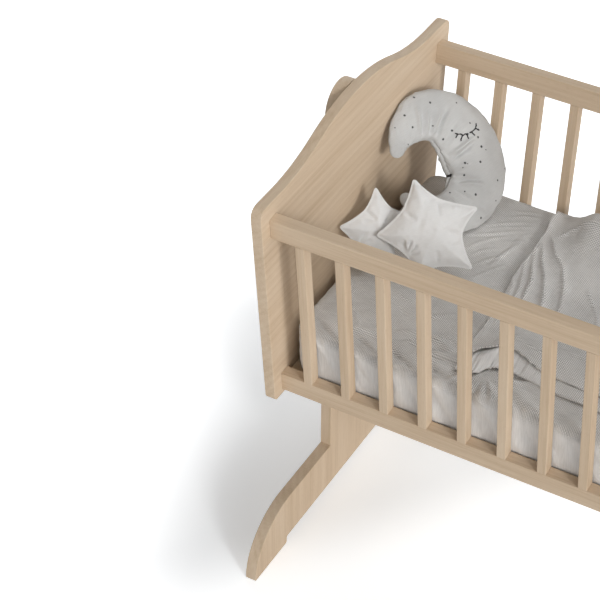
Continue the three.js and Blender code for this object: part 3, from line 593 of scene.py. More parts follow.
# The lower leaf's hem curls up. Behind it lie gathers and small pleats, with a pale band of painted light
# on them.
low_hem_rise, low_hem_width, painted_band_width, painted_band_blend = 0.0045, 0.010, 0.045, 0.015
gather_rise, gather_size = 0.0026, 0.0085
band_pleat_rise, band_pleat_pitch = 0.0012, 0.0068
# The upper leaf has loft, waves, a rolled head edge, a raised hem and a bulge by the far fold.
loft, loft_edge = 0.0036, 0.03
wide_rise, wide_size = 0.0034, 0.13
close_rise, close_size = 0.0014, 0.020
roll_rise, roll_width, roll_inset = 0.0026, 0.0055, 0.0015
up_hem_rise, up_hem_width = 0.0040, 0.009
bulge_x, bulge_y, bulge_long, bulge_wide, bulge_rise = -0.115, 0.200, 0.10, 0.048, 0.034
# A fold's crest has its spread and its rise in millimetres, and the pitch of its pleats in metres.
crest_spread, crest_rise, crest_pleat_pitch = 2.7, 2.6, 0.0066


def pleated_fold(x, y, line, spread, rise):
    """A fold whose crest is pinched into small pleats across it. The line, the spread and the rise
    are in millimetres."""
    broad = along_fold(x, y, line, spread, rise * 0.20, tail=0.25)
    crest = along_fold(x, y, line, crest_spread, crest_rise + rise * 0.10, tail=0.16)
    pleats = 0.55 + 0.45 * np.sin(y * (math.tau / crest_pleat_pitch) + 3 * np.sin(y * 90))
    return broad + crest * pleats


def pushed_up(x, from_hem):
    """The rise of both leaves behind the near hems, where the blanket was pushed together."""
    back = np.clip(from_hem / pushed_start, 0, 1) * np.clip((pushed_end - from_hem) / pushed_fall, 0, 1)
    return pushed_rise * bell(x - pushed_x, pushed_spread) * eased(back)


def lying_flat(x):
    """The share, from 0 to 1, by which the near hems lie flat, away from where they are pushed up."""
    return np.clip((x - flat_from) / flat_blend, 0, 1)


def hem_at(line, x):
    """The Y of a line of points at each X."""
    return np.interp(x, line[:, 0], line[:, 1])


def head_edge_at(y):
    return np.interp(y, edge_head[:, 1], edge_head[:, 0])


def leaf(columns, rows, hem, inset):
    """The flat places of one leaf, row by row from its hem to the fold. The inset is kept from the
    head edge. The edge's X and the hem's Y depend on each other, so they are found in turns."""
    grid_s, grid_t = np.meshgrid(columns, rows)
    y = hem[:, 1].mean() + grid_t * (far_fold_y - hem[:, 1].mean())
    for _ in range(3):
        start = head_edge_at(y) + inset
        x = start + grid_s * (foot_edge_x - start)
        y = hem_at(hem, x)
        y = y + grid_t * (far_fold_y - y)
    start = head_edge_at(y) + inset
    return start + grid_s * (foot_edge_x - start), y


def folded_blanket(columns, lower_rows, upper_rows):
    def ripple_on(x, y, stretch, size, seed):
        flat = np.stack([x.ravel(), y.ravel() * stretch, np.zeros(x.size)], axis=1)
        return ripple(flat, size, seed).reshape(x.shape)

    # The rows and columns lie closer together near the hems and the head edge, where the folds are.
    steps = np.linspace(0, 1, columns + 1) ** 1.55
    low_x, low_y = leaf(steps, np.linspace(0, 1, lower_rows + 1) ** 1.5, hem_near, leaf_inset)
    rest = bedding_top + blanket_clear + blanket_thick / 2
    from_low_hem = low_y - hem_at(hem_near, low_x)
    curl = 0.6 + 0.8 * ripple_on(low_x, low_y, 1.0, 0.018, 7)
    curl = bell(from_low_hem, low_hem_width) * curl * (1 - 0.9 * lying_flat(low_x))
    low_z = rest + low_hem_rise * curl + pushed_up(low_x, from_low_hem)
    painted_light_band = np.clip((painted_band_width - from_low_hem) / painted_band_blend, 0, 1)
    painted_light_band = painted_light_band * bell(low_x - pushed_x, pushed_spread)
    gathers = ripple_on(low_x, low_y, 0.22, gather_size, 9)
    waver = 5 * ripple_on(low_x, low_y, 1.0, 0.040, 12)
    pleats = np.sin(low_x * (math.tau / band_pleat_pitch) + waver)
    low_z += (gather_rise * gathers + band_pleat_rise * pleats) * painted_light_band
    low_z = np.maximum(low_z, rest)

    x, y = leaf(steps, np.linspace(1, 0, upper_rows + 1), upper_hem_near, 0.0)
    from_head, from_near = x - head_edge_at(y), y - hem_at(upper_hem_near, x)
    height = blanket_thick + leaf_clear + pushed_up(x, y - hem_at(hem_near, x))
    inside = eased(np.minimum(from_near, foot_edge_x - x) / loft_edge)
    lofty = loft + wide_rise * ripple_on(x, y, 1.0, wide_size, 4)
    lofty += close_rise * ripple_on(x, y, 0.45, close_size, 5)
    height += inside * lofty * np.clip(from_head / 0.06, 0.05, 1)
    roll = np.clip(0.7 + 0.9 * ripple_on(x, y, 1.0, 0.016, 10), 0, 1.4)
    height += roll_rise * roll * bell(from_head - roll_inset, roll_width)
    raised = bell(from_near, up_hem_width) * (0.7 + 0.6 * ripple_on(x, y, 1.0, 0.020, 8))
    height += up_hem_rise * raised * (1 - lying_flat(x))
    height -= flat_sink * lying_flat(x) * bell(from_near, flat_sink_width)
    far_room = np.clip((far_fold_y - y) / far_fold_room, 0, 1)
    fold_room = np.clip(from_near / hem_room, 0, 1) * far_room * np.clip(0.25 + from_head / 0.040, 0, 1)
    for line, spread, rise in blanket_folds:
        height += fold_room * pleated_fold(x, y, line, spread, rise)
    bulge = bell(x - bulge_x, bulge_long) * bell(y - bulge_y, bulge_wide)
    bulge *= np.sqrt(far_room) * eased(np.clip(from_head / 0.080, 0, 1) ** 1.3)
    height += bulge_rise * bulge

    lower, upper = np.stack([low_x, low_y, low_z], axis=2), np.stack([x, y, rest + height], axis=2)
    points = np.concatenate([lower, upper])
    faces = []
    for j in range(points.shape[0] - 1):
        for i in range(columns):
            a = j * (columns + 1) + i
            faces.append((a, a + columns + 1, a + columns + 2, a + 1))
    made = piece("blanket_folded_double", points.reshape(-1, 3), faces, blanket_cotton)
    mark_plain(made, np.concatenate([painted_light_band, x * 0]))
    laid_out = np.concatenate([low_y, 2 * far_fold_y - y])
    cloth_map(made, np.stack([points[:, :, 0].ravel(), laid_out.ravel()], axis=1))
    wall = made.modifiers.new("thickness", "SOLIDIFY")
    wall.thickness = blanket_thick
    wall.offset = 0
    return made


# Its plain colour is painted light, used only on the band behind the lower leaf's hem near the pushed-up
# corner.
blanket_cotton = cotton(
    "blanket_cotton", (0.93, 0.918, 0.90, 1), (0.32, 0.311, 0.298, 1), weave_pitch=0.0053, figure=0.9,
    plain=(0.90, 0.892, 0.88, 1),
)
blanket = folded_blanket(columns=250, lower_rows=24, upper_rows=136)
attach(blanket, "cradle")
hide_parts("blanket")


# Moon cushion: a crescent of light grey linen printed with small dark dots, stuffed with fibre.
# Front and back panels meet in a seam round the edge, and a sleepy eye is stitched on the front.
def cushion_frame(from_head, y, z, facing, tipped, spin):
    """Where a cushion stands: the place of its middle, measured along X from the headboard's inner
    face, the way that its front faces, how far that is tipped up, and its turn in its own plane."""
    a, t = math.radians(facing), math.radians(tipped)
    front = Vector((math.cos(t) * math.cos(a), -math.cos(t) * math.sin(a), math.sin(t)))
    across = Matrix.Rotation(math.radians(spin), 3, front) @ Vector((math.sin(a), math.cos(a), 0))
    up = front.cross(across)
    placed = Matrix((across, up, front)).transposed().to_4x4()
    placed.translation = (head_inside + from_head, y, z)
    return placed


def puff(made, cut, seam, pressure, frames, most):
    """Stuffs a cushion: its panels, cut to the shape given, are blown out while the seam is held."""
    before = rows_of(made.data, "co")
    made.shape_key_add(name="sewn")
    flat_key = made.shape_key_add(name="cut")
    flat_key.data.foreach_set("co", np.asarray(cut, dtype=np.float32).ravel())
    held = made.vertex_groups.new(name="seam")
    held.add([int(i) for i in seam], 1.0, "REPLACE")
    cloth = made.modifiers.new("stuffing", "CLOTH")
    cloth.settings.rest_shape_key = flat_key
    cloth.settings.quality = 6
    cloth.settings.mass = 0.2
    cloth.settings.tension_stiffness = 20
    cloth.settings.compression_stiffness = 20
    cloth.settings.shear_stiffness = 6
    cloth.settings.bending_stiffness = 0.02
    cloth.settings.use_pressure = True
    cloth.settings.uniform_pressure_force = pressure
    cloth.settings.vertex_group_mass = "seam"
    cloth.settings.effector_weights.gravity = 0
    cloth.collision_settings.use_collision = False
    cloth.point_cache.frame_start = 1
    cloth.point_cache.frame_end = frames
    for step in range(1, frames + 1):
        bpy.context.scene.frame_set(step)
    stuffed = made.evaluated_get(bpy.context.evaluated_depsgraph_get()).data
    moved = rows_of(stuffed, "co") - before
    made.modifiers.remove(cloth)
    made.shape_key_clear()
    made.vertex_groups.clear()
    length = np.linalg.norm(moved, axis=1, keepdims=True)
    capped = before + moved * np.minimum(1, most / np.maximum(length, 1e-9))
    made.data.vertices.foreach_set("co", capped.ravel())
    made.data.update()
    bpy.context.scene.frame_set(1)


def lathe_skin(rings, first, last):
    """Points and faces of a closed skin over rings, from one pole to the other."""
    count = len(rings[0])
    points = [first] + [p for ring in rings for p in ring] + [last]
    faces = []
    for i in range(count):
        j = (i + 1) % count
        faces.append((0, 1 + j, 1 + i))
        base = 1 + (len(rings) - 1) * count
        faces.append((len(points) - 1, base + i, base + j))
    for ring in range(len(rings) - 1):
        a = 1 + ring * count
        b = a + count
        for i in range(count):
            j = (i + 1) % count
            faces.append((a + i, a + j, b + j, b + i))
    return points, faces


def curve_at(points, share):
    """A smooth curve through points, from share 0 at the first to 1 at the last."""
    place = share * (len(points) - 1)
    k = min(int(place), len(points) - 2)
    t = place - k
    a, b, c, d = (Vector(points[min(max(i, 0), len(points) - 1)]) for i in range(k - 1, k + 3))
    square, cube = 2 * a - 5 * b + 4 * c - d, 3 * b - 3 * c + d - a
    return 0.5 * (2 * b + (c - a) * t + square * t ** 2 + cube * t ** 3)


moon_pose = cushion_frame(0.088, 0.127, 0.6355, facing=12, tipped=43, spin=0)
moon_sag = Vector((-0.37, 0.70, -0.61))
moon_outer = [
    (-0.0960, 0.0620), (-0.0575, 0.1010), (-0.0050, 0.1210), (0.0510, 0.1110), (0.0935, 0.0750),
    (0.1170, 0.0255), (0.1160, -0.0290), (0.0905, -0.0780), (0.0455, -0.1090), (-0.0100, -0.1165),
    (-0.0670, -0.0980), (-0.1080, -0.0590), (-0.1255, -0.0060),
]
moon_inner = [
    (-0.0780, 0.0440), (-0.0615, 0.0525), (-0.0420, 0.0540), (-0.0225, 0.0505), (-0.0035, 0.0410),
    (0.0005, 0.0230), (-0.0015, 0.0000), (-0.0080, -0.0190), (-0.0225, -0.0320), (-0.0435, -0.0360),
    (-0.0690, -0.0310), (-0.0895, -0.0170), (-0.1005, 0.0020),
]
moon_stations, moon_around, moon_fullness = 190, 68, 0.40
moon_flatter, tip_share, seam_crowding = 0.12, 0.06, 0.32
# Its cloth is cut larger than the seam by its ease, a little more so along the inner seam.
moon_ease, ease_change = 1.14, 0.05
cut_x, cut_y = -0.040, 0.012
sag_start, sag_run, first_sag, tip_sag = 0.42, 0.58, 0.024, 0.032
# The stuffed cloth has soft bumps, a crinkle, puckers along a sunk seam and a swell at the back.
moon_crease_spread, moon_crease_rise, back_crease_rise = 0.85, 2.3, -0.4
moon_bump_rise, moon_bump_size = 0.0014, 0.026
moon_crinkle_rise, moon_crinkle_size = 0.0008, 0.008
moon_pucker_rise, moon_pucker_size, moon_pucker_reach = 0.0016, 0.0075, 0.55
seam_sink, seam_sink_width = 0.0019, 0.10
swell_rise, swell_turn, swell_width, swell_share, swell_reach = 0.0060, 0.35, 0.28, 0.50, 0.20
# Each crease has its line, its spread and its rise, in millimetres.
moon_creases = (
    ([(4, -1), (14, -1), (26, 0), (40, 2), (62, 5)], 3, -3.6),
    ([(6, 7), (17, 6), (29, 8), (43, 8), (66, 10)], 3.6, 3),
    ([(-5, 104), (-16, 84), (-31, 58)], 3.2, 1.6),
    ([(1, 96), (-12, 76), (-24, 54)], 3, -1.4),
    ([(9, 90), (-4, 72), (-18, 52)], 3, 1.6),
    ([(22, 84), (2, 67), (-13, 48)], 3.4, -1.4),
    ([(36, 79), (11, 64), (-8, 45)], 3.2, 1.8),
    ([(46, 75), (20, 61), (-2, 40)], 3, -1.4),
    ([(56, 71), (28, 58), (1, 35)], 3, 1.4),
    ([(60, 48), (32, 41), (5, 26)], 3.4, -1.2),
    ([(62, 30), (38, 30), (8, 18)], 3.6, 1.2),
    ([(-16, -33), (0, -37), (16, -44), (36, -59)], 4.6, -2.6),
    ([(-10, -40), (6, -46), (20, -56), (30, -68)], 4, 1.8),
    ([(-9, -23), (0, -28), (14, -36)], 3, -1.8),
    ([(4, -8), (20, -10), (42, -16)], 4, -1.2),
    ([(0, -16), (16, -20), (34, -28)], 3.4, 1.2),
    ([(-24, -42), (-14, -56), (-2, -78)], 3.6, -1.6),
    ([(-40, -44), (-36, -60), (-30, -84)], 3.6, 1.4),
    ([(0, -84), (11, -103)], 4, 1.2),
    ([(26, -71), (40, -89)], 4, 1.2),
)
# Each printed dot has its place on the cloth and its radius, in millimetres.
moon_dots = [
    (-33.8, 100.5, 1.5), (-33.8, 77.8, 1.4), (21.2, 95.2, 1.5), (2.9, 115.4, 1.3), (69.9, 71.1, 1.1),
    (30.8, 38.2, 1.5), (9.7, 34.2, 1.4), (-53.8, 58.3, 0.9), (68.4, 32.2, 1.2), (66.7, 6.0, 1.5),
    (63.7, -9.8, 1.7), (45.6, -29.0, 1.6), (19.5, -16.6, 1.6), (8.1, -32.2, 1.3), (62.0, -70.8, 1.3),
    (6.2, -68.6, 1.7), (-3.1, -105.8, 1.5), (42.6, -97.8, 1.0), (92.7, -62.9, 0.9), (-31.9, -43.3, 1.0),
    (-8.6, -54.4, 1.0), (2.4, 61.5, 0.9), (69.1, -18.3, 0.8), (12.0, -21.0, 0.7), (22.0, -20.0, 0.7),
    (-60.5, 92.1, 0.8),
]
ink_spread = 1.25
tie_x, tie_y, tie_share = -0.0080, -0.0190, 0.585
tie_pull, tie_width = 0.0045, 0.0055


def moon_sag_at(share):
    """How far the moon has sunk at a share of its length, most at the tip that stands on the bed."""
    low = max(0, (share - sag_start) / sag_run)
    return first_sag * min(1, low * 1.9) ** 1.5 + tip_sag * low ** 3


def stuffed_moon(stations, around, fullness):
    """The sewn crescent, the flat cut of its panels, its seam, and the share of the length and the
    place on the cloth of each of its points."""
    rings, shares, flats, cut = [], [], [], []
    middle_of_cut = Vector((cut_x, cut_y))
    for station in range(1, stations):
        share = 0.5 - 0.5 * math.cos(math.pi * station / stations)
        share = 0.35 * share + 0.65 * station / stations
        outer, inner = curve_at(moon_outer, share), curve_at(moon_inner, share)
        middle, half = (outer + inner) / 2, (outer - inner) / 2
        blunt = math.sqrt(1 - (1 - min(1, min(share, 1 - share) / tip_share)) ** 2)
        thick = half.length * fullness * (1 - moon_flatter * math.sin(math.pi * share))
        ring = []
        for k in range(around):
            a = math.tau * k / around
            a -= seam_crowding * math.sin(2 * a)
            spot = middle + half * math.cos(a) * blunt
            ring.append((spot.x, spot.y, math.sin(a) * thick * blunt))
            flats.append((spot.x, spot.y))
            shares.append(share)
            spare = moon_ease - ease_change * math.cos(a)
            away = middle_of_cut + (spot - middle_of_cut) * spare
            cut.append((away.x, away.y, 0))
        rings.append(ring)
    poles = [(curve_at(moon_outer, s) + curve_at(moon_inner, s)) / 2 for s in (0, 1)]
    points, faces = lathe_skin(rings, (*poles[0], 0), (*poles[1], 0))
    made = piece("moon_stuffed", points, faces, moon_linen)
    spots = [tuple(poles[0])] + flats + [tuple(poles[1])]
    cloth_map(made, spots)
    cut_poles = [(*(middle_of_cut + (pole - middle_of_cut) * moon_ease), 0) for pole in poles]
    cut = [cut_poles[0]] + cut + [cut_poles[1]]
    seam = [0, len(points) - 1]
    for ring in range(len(rings)):
        seam += [1 + ring * around, 1 + ring * around + around // 2]
    return made, cut, seam, np.array([0.0] + shares + [1.0]), np.array(spots)


def crease_moon(made, spots, shares, around):
    """Presses the creases, the puckers along the seam and the seam itself into the stuffed cloth."""
    flesh, outward = rows_of(made.data, "co"), rows_of(made.data, "normal")
    x, y = spots.T
    number = (np.arange(len(spots)) - 1) % around
    front = number < around // 2
    turn = np.minimum(number % (around // 2), around // 2 - number % (around // 2)) / (around / 4)
    lift = np.zeros(len(spots))
    for line, spread, rise in moon_creases:
        lift += along_fold(x, y, line, spread * moon_crease_spread, rise * moon_crease_rise, tail=0.3)
    lift = np.where(front, lift, back_crease_rise * np.roll(lift, around // 3))
    on_cloth = np.column_stack([x, y, flesh[:, 2] * 2])
    bumps, crinkle = ripple(on_cloth, moon_bump_size, 11), ripple(on_cloth, moon_crinkle_size, 12)
    along = np.column_stack([shares * 0.62, np.where(number < around // 4, 0.3, 0.0), turn * 0.006])
    puckers = ripple(along, moon_pucker_size, 13) * np.clip(1 - turn / moon_pucker_reach, 0, 1)
    lift += moon_bump_rise * bumps + moon_crinkle_rise * crinkle
    lift += moon_pucker_rise * puckers - seam_sink * bell(turn, seam_sink_width)
    under = (number > around // 2) & (number < around * 3 // 4)
    hollow = np.clip(1 - np.abs(shares - swell_share) / swell_reach, 0, 1)
    lift += np.where(under, swell_rise * bell(turn - swell_turn, swell_width) * np.sqrt(hollow), 0)
    lift -= tie_pull * bell(np.hypot(x - tie_x, y - tie_y), tie_width)
    lift[[0, -1]] = 0
    made.data.vertices.foreach_set("co", (flesh + outward * lift[:, None]).ravel())
    made.data.update()


def dotted(finish, dots, ink):
    """Prints small round dots on a cloth: a place and a radius for each, in millimetres."""
    surface = finish.node_tree.nodes["Principled BSDF"]
    plain = Shade(finish.node_tree, surface.inputs["Base Color"].links[0].from_socket)
    cloth = plain.node("UVMap", {"uv_map": "cloth"})
    nearest = None
    for x, y, radius in dots:
        places = {0: cloth, 1: (x / 1000, y / 1000, 0)}
        away = cloth.node("VectorMath", {"operation": "DISTANCE"}, places, output=1)
        away = away - radius * ink_spread / 1000
        nearest = nearest.math("MINIMUM", away) if nearest else away
    grit = plain.node("TexNoise", None, {"Vector": cloth, "Scale": 900.0, "Detail": 1.0})
    printed = 1 - (nearest + grit * 0.0006).between(-0.0002, 0.0009)
    (printed * 0.92).blend(plain, ink).feed(surface, "Base Color")


moon_linen = cotton(
    "dotted_linen", (0.595, 0.595, 0.585, 1), (0.37, 0.368, 0.362, 1), weave_pitch=0.0034, figure=0.24,
    mottle=0.50,
)
dotted(moon_linen, moon_dots, ink=(0.030, 0.030, 0.032, 1))
sewn_moon = stuffed_moon(moon_stations, moon_around, moon_fullness)
moon, moon_cut, moon_seam, moon_shares, moon_spots = sewn_moon
puff(moon, moon_cut, moon_seam, pressure=4.0, frames=26, most=0.012)
crease_moon(moon, moon_spots, moon_shares, moon_around)
for vertex, share in zip(moon.data.vertices, moon_shares):
    vertex.co = moon_pose @ vertex.co + moon_sag * moon_sag_at(share)
softened = moon.modifiers.new("smooth", "SUBSURF")
softened.levels = softened.render_levels = 1
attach(moon, "cradle")
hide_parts("moon_cushion")


# Stitches of the moon: the closed eye with its lashes and the tie that draws the inner seam
# together, both sewn by hand in dark thread and half sunk in the cloth.
def set_out(name, spots, facing, along, pattern, finish, vary=0.0):
    """Sets a copy of the pattern at each spot, its Z turned to facing and its X along the other."""
    base = piece(name, spots, [], finish)
    for attribute, values in (("facing", facing), ("along", along)):
        layer = base.data.attributes.new(attribute, "FLOAT_VECTOR", "POINT")
        layer.data.foreach_set("vector", np.asarray(values, dtype=np.float32).ravel())
    tree = bpy.data.node_groups.new(name, "GeometryNodeTree")
    tree.interface.new_socket("Geometry", in_out="INPUT", socket_type="NodeSocketGeometry")
    tree.interface.new_socket("Geometry", in_out="OUTPUT", socket_type="NodeSocketGeometry")
    named = {}
    for label, kind in (("Pattern", "Object"), ("Vary", "Float"), ("Seed", "Int")):
        named[label] = tree.interface.new_socket(label, in_out="INPUT", socket_type="NodeSocket" + kind)

    def add(kind, links, **settings):
        made = tree.nodes.new(kind)
        for key, value in settings.items():
            setattr(made, key, value)
        for key, value in links.items():
            if isinstance(value, bpy.types.NodeSocket):
                tree.links.new(value, made.inputs[key])
            else:
                made.inputs[key].default_value = value
        return made

    given = add("NodeGroupInput", {}).outputs
    turn = None
    for attribute, axis in (("facing", "Z"), ("along", "X")):
        read = add("GeometryNodeInputNamedAttribute", {"Name": attribute}, data_type="FLOAT_VECTOR")
        links = {"Vector": read.outputs["Attribute"]}
        if turn:
            links["Rotation"] = turn
        pivot = "Z" if turn else "AUTO"
        turner = add("FunctionNodeAlignRotationToVector", links, axis=axis, pivot_axis=pivot)
        turn = turner.outputs["Rotation"]
    spread = add("FunctionNodeRandomValue", {"Seed": given["Seed"]}, data_type="FLOAT")
    spread.inputs[2].default_value, spread.inputs[3].default_value = -1.0, 1.0
    scales = {0: spread.outputs[1], 1: given["Vary"], 2: 1.0}
    varied = add("ShaderNodeMath", scales, operation="MULTIPLY_ADD")
    shape = add("GeometryNodeObjectInfo", {"Object": given["Pattern"]})
    copies = add("GeometryNodeInstanceOnPoints", {
        "Points": given["Geometry"], "Instance": shape.outputs["Geometry"],
        "Rotation": turn, "Scale": varied.outputs[0],
    })
    real = add("GeometryNodeRealizeInstances", {"Geometry": copies.outputs["Instances"]})
    dressed = add("GeometryNodeSetMaterial", {"Geometry": real.outputs["Geometry"], "Material": finish})
    add("NodeGroupOutput", {"Geometry": dressed.outputs["Geometry"]})
    laid = base.modifiers.new("set_out", "NODES")
    laid.node_group = tree
    laid[named["Pattern"].identifier] = pattern
    laid[named["Vary"].identifier] = vary
    laid[named["Seed"].identifier] = 3
    solid = bpy.data.meshes.new_from_object(base.evaluated_get(bpy.context.evaluated_depsgraph_get()))
    base.modifiers.remove(laid)
    made = piece(name + "_set", [], [], finish)
    made.data = solid
    solid.polygons.foreach_set("use_smooth", [True] * len(solid.polygons))
    bpy.data.objects.remove(base)
    bpy.data.objects.remove(pattern)
    return made


def thread_pattern(name, length, radius, finish):
    """One stitch: a short round thread along X with rounded ends."""
    sides, half, blunt = 8, length / 2, radius * 0.7
    rings = []
    for r, height in ((blunt, radius * 0.3 - half), (radius, radius - half), (radius, half - radius),
                      (blunt, half - radius * 0.3)):
        turns = [math.tau * k / sides for k in range(sides)]
        rings.append([(r * math.cos(a), r * math.sin(a), height) for a in turns])
    points, faces = lathe_skin(rings, (0, 0, -half), (0, 0, half))
    made = piece(name, points, [tuple(reversed(face)) for face in faces], finish)
    made.data.transform(Matrix.Rotation(math.radians(90), 4, "Y"))
    return made


def thread(name, colour):
    """Twisted sewing thread."""
    finish, surface, start = new_finish(name)
    place = start.node("TexCoord", output="Object")
    twist = start.node("TexNoise", None, {"Vector": place, "Scale": 1500.0, "Detail": 2.0})
    paler = tuple(value * 1.35 for value in colour[:3]) + (1,)
    twist.between(0.3, 0.7).blend(colour, paler).feed(surface, "Base Color")
    surface.inputs["Roughness"].default_value = 0.8
    bump = start.node("Bump", None, {"Height": twist, "Strength": 0.3, "Distance": 0.0002})
    bump.feed(surface, "Normal")
    return finish


# The eye's lines on the moon's cloth, in millimetres.
eye_arc = [
    (32.3, 31.2), (38.6, 25.5), (45.0, 22.0), (52.7, 20.0), (63.2, 19.0), (72.6, 21.0), (79.0, 24.5),
]
eye_lashes = [
    [(33.6, 29.6), (28.0, 25.0)], [(40.6, 24.0), (34.6, 17.3)], [(49.8, 20.4), (47.1, 13.2)],
    [(60.3, 19.2), (62.7, 11.8)], [(71.9, 20.8), (75.4, 14.0)],
]
eye_lines = [[Vector(p) / 1000 for p in line] for line in [eye_arc] + eye_lashes]
front_faces = [
    tuple(face.vertices) for face in moon.data.polygons
    if all(i > 0 and (i - 1) % moon_around <= moon_around // 2 for i in face.vertices)
]
moon_cloth = BVHTree.FromPolygons([(x, y, 0.0) for x, y in moon_spots], front_faces)
eye_stitch_pitch, path_steps = 0.0030, 60
eye_lift, tie_lift, stitch_vary = 0.0005, 0.0006, 0.05


def on_moon(spot):
    """The point of the moon's front at a spot on its cloth, and the way the cloth faces there."""
    _, _, index, _ = moon_cloth.find_nearest((spot.x, spot.y, 0.0))
    corners = front_faces[index]
    weights = [1 / ((Vector(moon_spots[i]) - spot).length + 1e-5) ** 2 for i in corners]
    share = [weight / sum(weights) for weight in weights]
    point = sum((moon.data.vertices[i].co * w for i, w in zip(corners, share)), Vector())
    facing = sum((moon.data.vertices[i].normal * w for i, w in zip(corners, share)), Vector())
    return point, facing.normalized()


def sewn_line(line, pitch):
    """Places, facings and directions of stitches along a line on the moon's cloth."""
    places = [k / path_steps for k in range(path_steps + 1)]
    path = [curve_at(line, place) if len(line) > 2 else line[0].lerp(line[1], place) for place in places]
    count = max(2, round(sum((b - a).length for a, b in zip(path, path[1:])) / pitch))
    rows = []
    for k in range(count):
        first, _ = on_moon(path[round(path_steps * k / count)])
        last, _ = on_moon(path[round(path_steps * (k + 1) / count)])
        middle, facing = on_moon(path[round(path_steps * (k + 0.5) / count)])
        rows.append((middle + facing * eye_lift, facing, (last - first).normalized()))
    return rows


dark_thread = thread("dark_thread", (0.022, 0.021, 0.022, 1))
eye_rows = [row for line in eye_lines for row in sewn_line(line, eye_stitch_pitch)]
eye_stitch = thread_pattern("eye_stitch", length=0.0048, radius=0.00095, finish=dark_thread)
eye = set_out("eye", *zip(*eye_rows), eye_stitch, dark_thread, stitch_vary)
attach(eye, "cradle")

tie_rows = []
tie_station = int(np.argmin(np.abs(moon_shares[1:-1:moon_around] - tie_share)))
for step in (-1, 0, 1):
    ring_start = 1 + (tie_station + step) * moon_around + moon_around // 2
    for first, last in ((-4, -1), (-1, 2), (2, 5)):
        here, there = (moon.data.vertices[ring_start + k] for k in (first, last))
        facing = (here.normal + there.normal).normalized()
        spot = (here.co + there.co) / 2 + facing * tie_lift
        tie_rows.append((spot, facing, (there.co - here.co).normalized()))
tie_stitch = thread_pattern("tie_stitch", length=0.0052, radius=0.0008, finish=dark_thread)
tie = set_out("tie", *zip(*tie_rows), tie_stitch, dark_thread, stitch_vary)
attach(tie, "cradle")


# Star cushions: five-pointed cushions of off-white linen, each of two panels with a narrow
# topstitched lip round the edge. They are softly filled, so the cloth drags towards the notches.
stars = {
    "star_cushion_large": {
        "place": (0.129, -0.005, 0.596, 51, 34, 8),
        "points": [(-0.006, 0.094), (-0.087, 0.018), (-0.047, -0.076), (0.057, -0.0745), (0.088, 0.022)],
        "notches": [(-0.035, 0.0465), (-0.043, -0.028), (0, -0.054), (0.050, -0.014), (0.026, 0.051)],
        "thick": 0.021,
        # Each crease has its line, its spread and its rise, in millimetres.
        "creases": (
            ([(-45, -23), (-48.5, -10), (-51.6, 2)], 2.2, -2.4),
            ([(-43.5, -21), (-45, -8), (-45, 4)], 2.2, -2.4),
            ([(-42, -20), (-38, -10), (-33, -1)], 2.2, -2.8),
            ([(-41, -23), (-33.7, -16), (-25, -10)], 2.2, -2.6),
            ([(-41, -26), (-33, -24), (-24, -22)], 2.2, -2.2),
            ([(-43, -19), (-41.5, -8), (-39, 1)], 2, 1.6),
            ([(-41, -21), (-35.5, -13), (-29, -6)], 2, 1.6),
            ([(47, -15), (38, -8), (25, -1)], 3, -1.6),
            ([(46, -21), (34, -22), (22, -20)], 3, 1.4),
            ([(5, 62), (-5, 32), (-26, 5)], 6, -1.2),
            ([(20, 26), (6, -3), (-17, -21)], 6, 1.2),
            ([(-33, 44), (-26, 34), (-16, 26)], 2.6, -1.8),
            ([(24, 48), (20, 36), (18, 22)], 2.8, -1.4),
            ([(0, -51), (2, -40), (3, -26)], 2.6, -1.6),
        ),
    },
    "star_cushion_small": {
        "place": (0.053, -0.030, 0.590, 35, 27, -3),
        "points": [(0.004, 0.075), (-0.070, 0.021), (-0.046, -0.058), (0.024, -0.064), (0.066, 0.014)],
        "notches": [
            (-0.0205, 0.0375), (-0.043, -0.017), (-0.008, -0.043), (0.025, -0.020), (0.025, 0.032),
        ],
        "thick": 0.015,
        "creases": (
            ([(-19, 35), (-13, 27), (-5, 20)], 2.4, -1.8),
            ([(-40, -16), (-30, -12), (-18, -9)], 2.4, -2),
            ([(-40, -13), (-33, -4), (-24, 4)], 2.4, -2),
            ([(-30, 22), (-22, 20), (-12, 18)], 2.6, -1.4),
            ([(-3, 30), (-4, 12), (-6, -6)], 5, 1.2),
            ([(24, 30), (16, 22), (6, 12)], 2.6, -1.4),
        ),
    },
}
star_linen = cotton(
    "off_white_linen", (0.765, 0.762, 0.753, 1), (0.60, 0.596, 0.584, 1), weave_pitch=0.0032, figure=0.24,
    mottle=0.36,
)
star_skin, star_ease, star_crown, star_crease_rise = 0.0030, 1.055, 0.80, 1.9
star_bump_rise, star_bump_size = 0.0014, 0.024
star_crinkle_rise, star_crinkle_size = 0.0006, 0.008
star_pucker_rise, star_pucker_pitch, star_pucker_reach = 0.0016, 0.0062, 0.011
point_blunt, edge_sharpness = 0.035, 0.35
lip_width, lip_round, lip_edge, lip_swell = 0.0026, 0.0004, 0.0006, 0.0007


def star_outline(star, steps):
    """The star's outline: a hollow edge from each blunt point through a notch to the next point."""
    outline = []
    for k in range(5):
        tip, after = Vector(star["points"][k]), Vector(star["points"][(k + 1) % 5])
        notch = Vector(star["notches"][k])
        pull = 2 * notch - (tip + after) / 2
        for step in range(steps):
            t = point_blunt + (1 - 2 * point_blunt) * step / (steps - 1)
            hollow = tip * (1 - t) ** 2 + pull * (2 * t * (1 - t)) + after * t ** 2
            straight = tip.lerp(notch, 2 * t) if t < 0.5 else notch.lerp(after, 2 * t - 1)
            outline.append(hollow.lerp(straight, edge_sharpness))
    return np.array([tuple(p) for p in outline])


def run_along(line):
    """How far each point of a line is along it."""
    return np.concatenate([[0], np.cumsum(np.hypot(*np.diff(line, axis=0).T))])


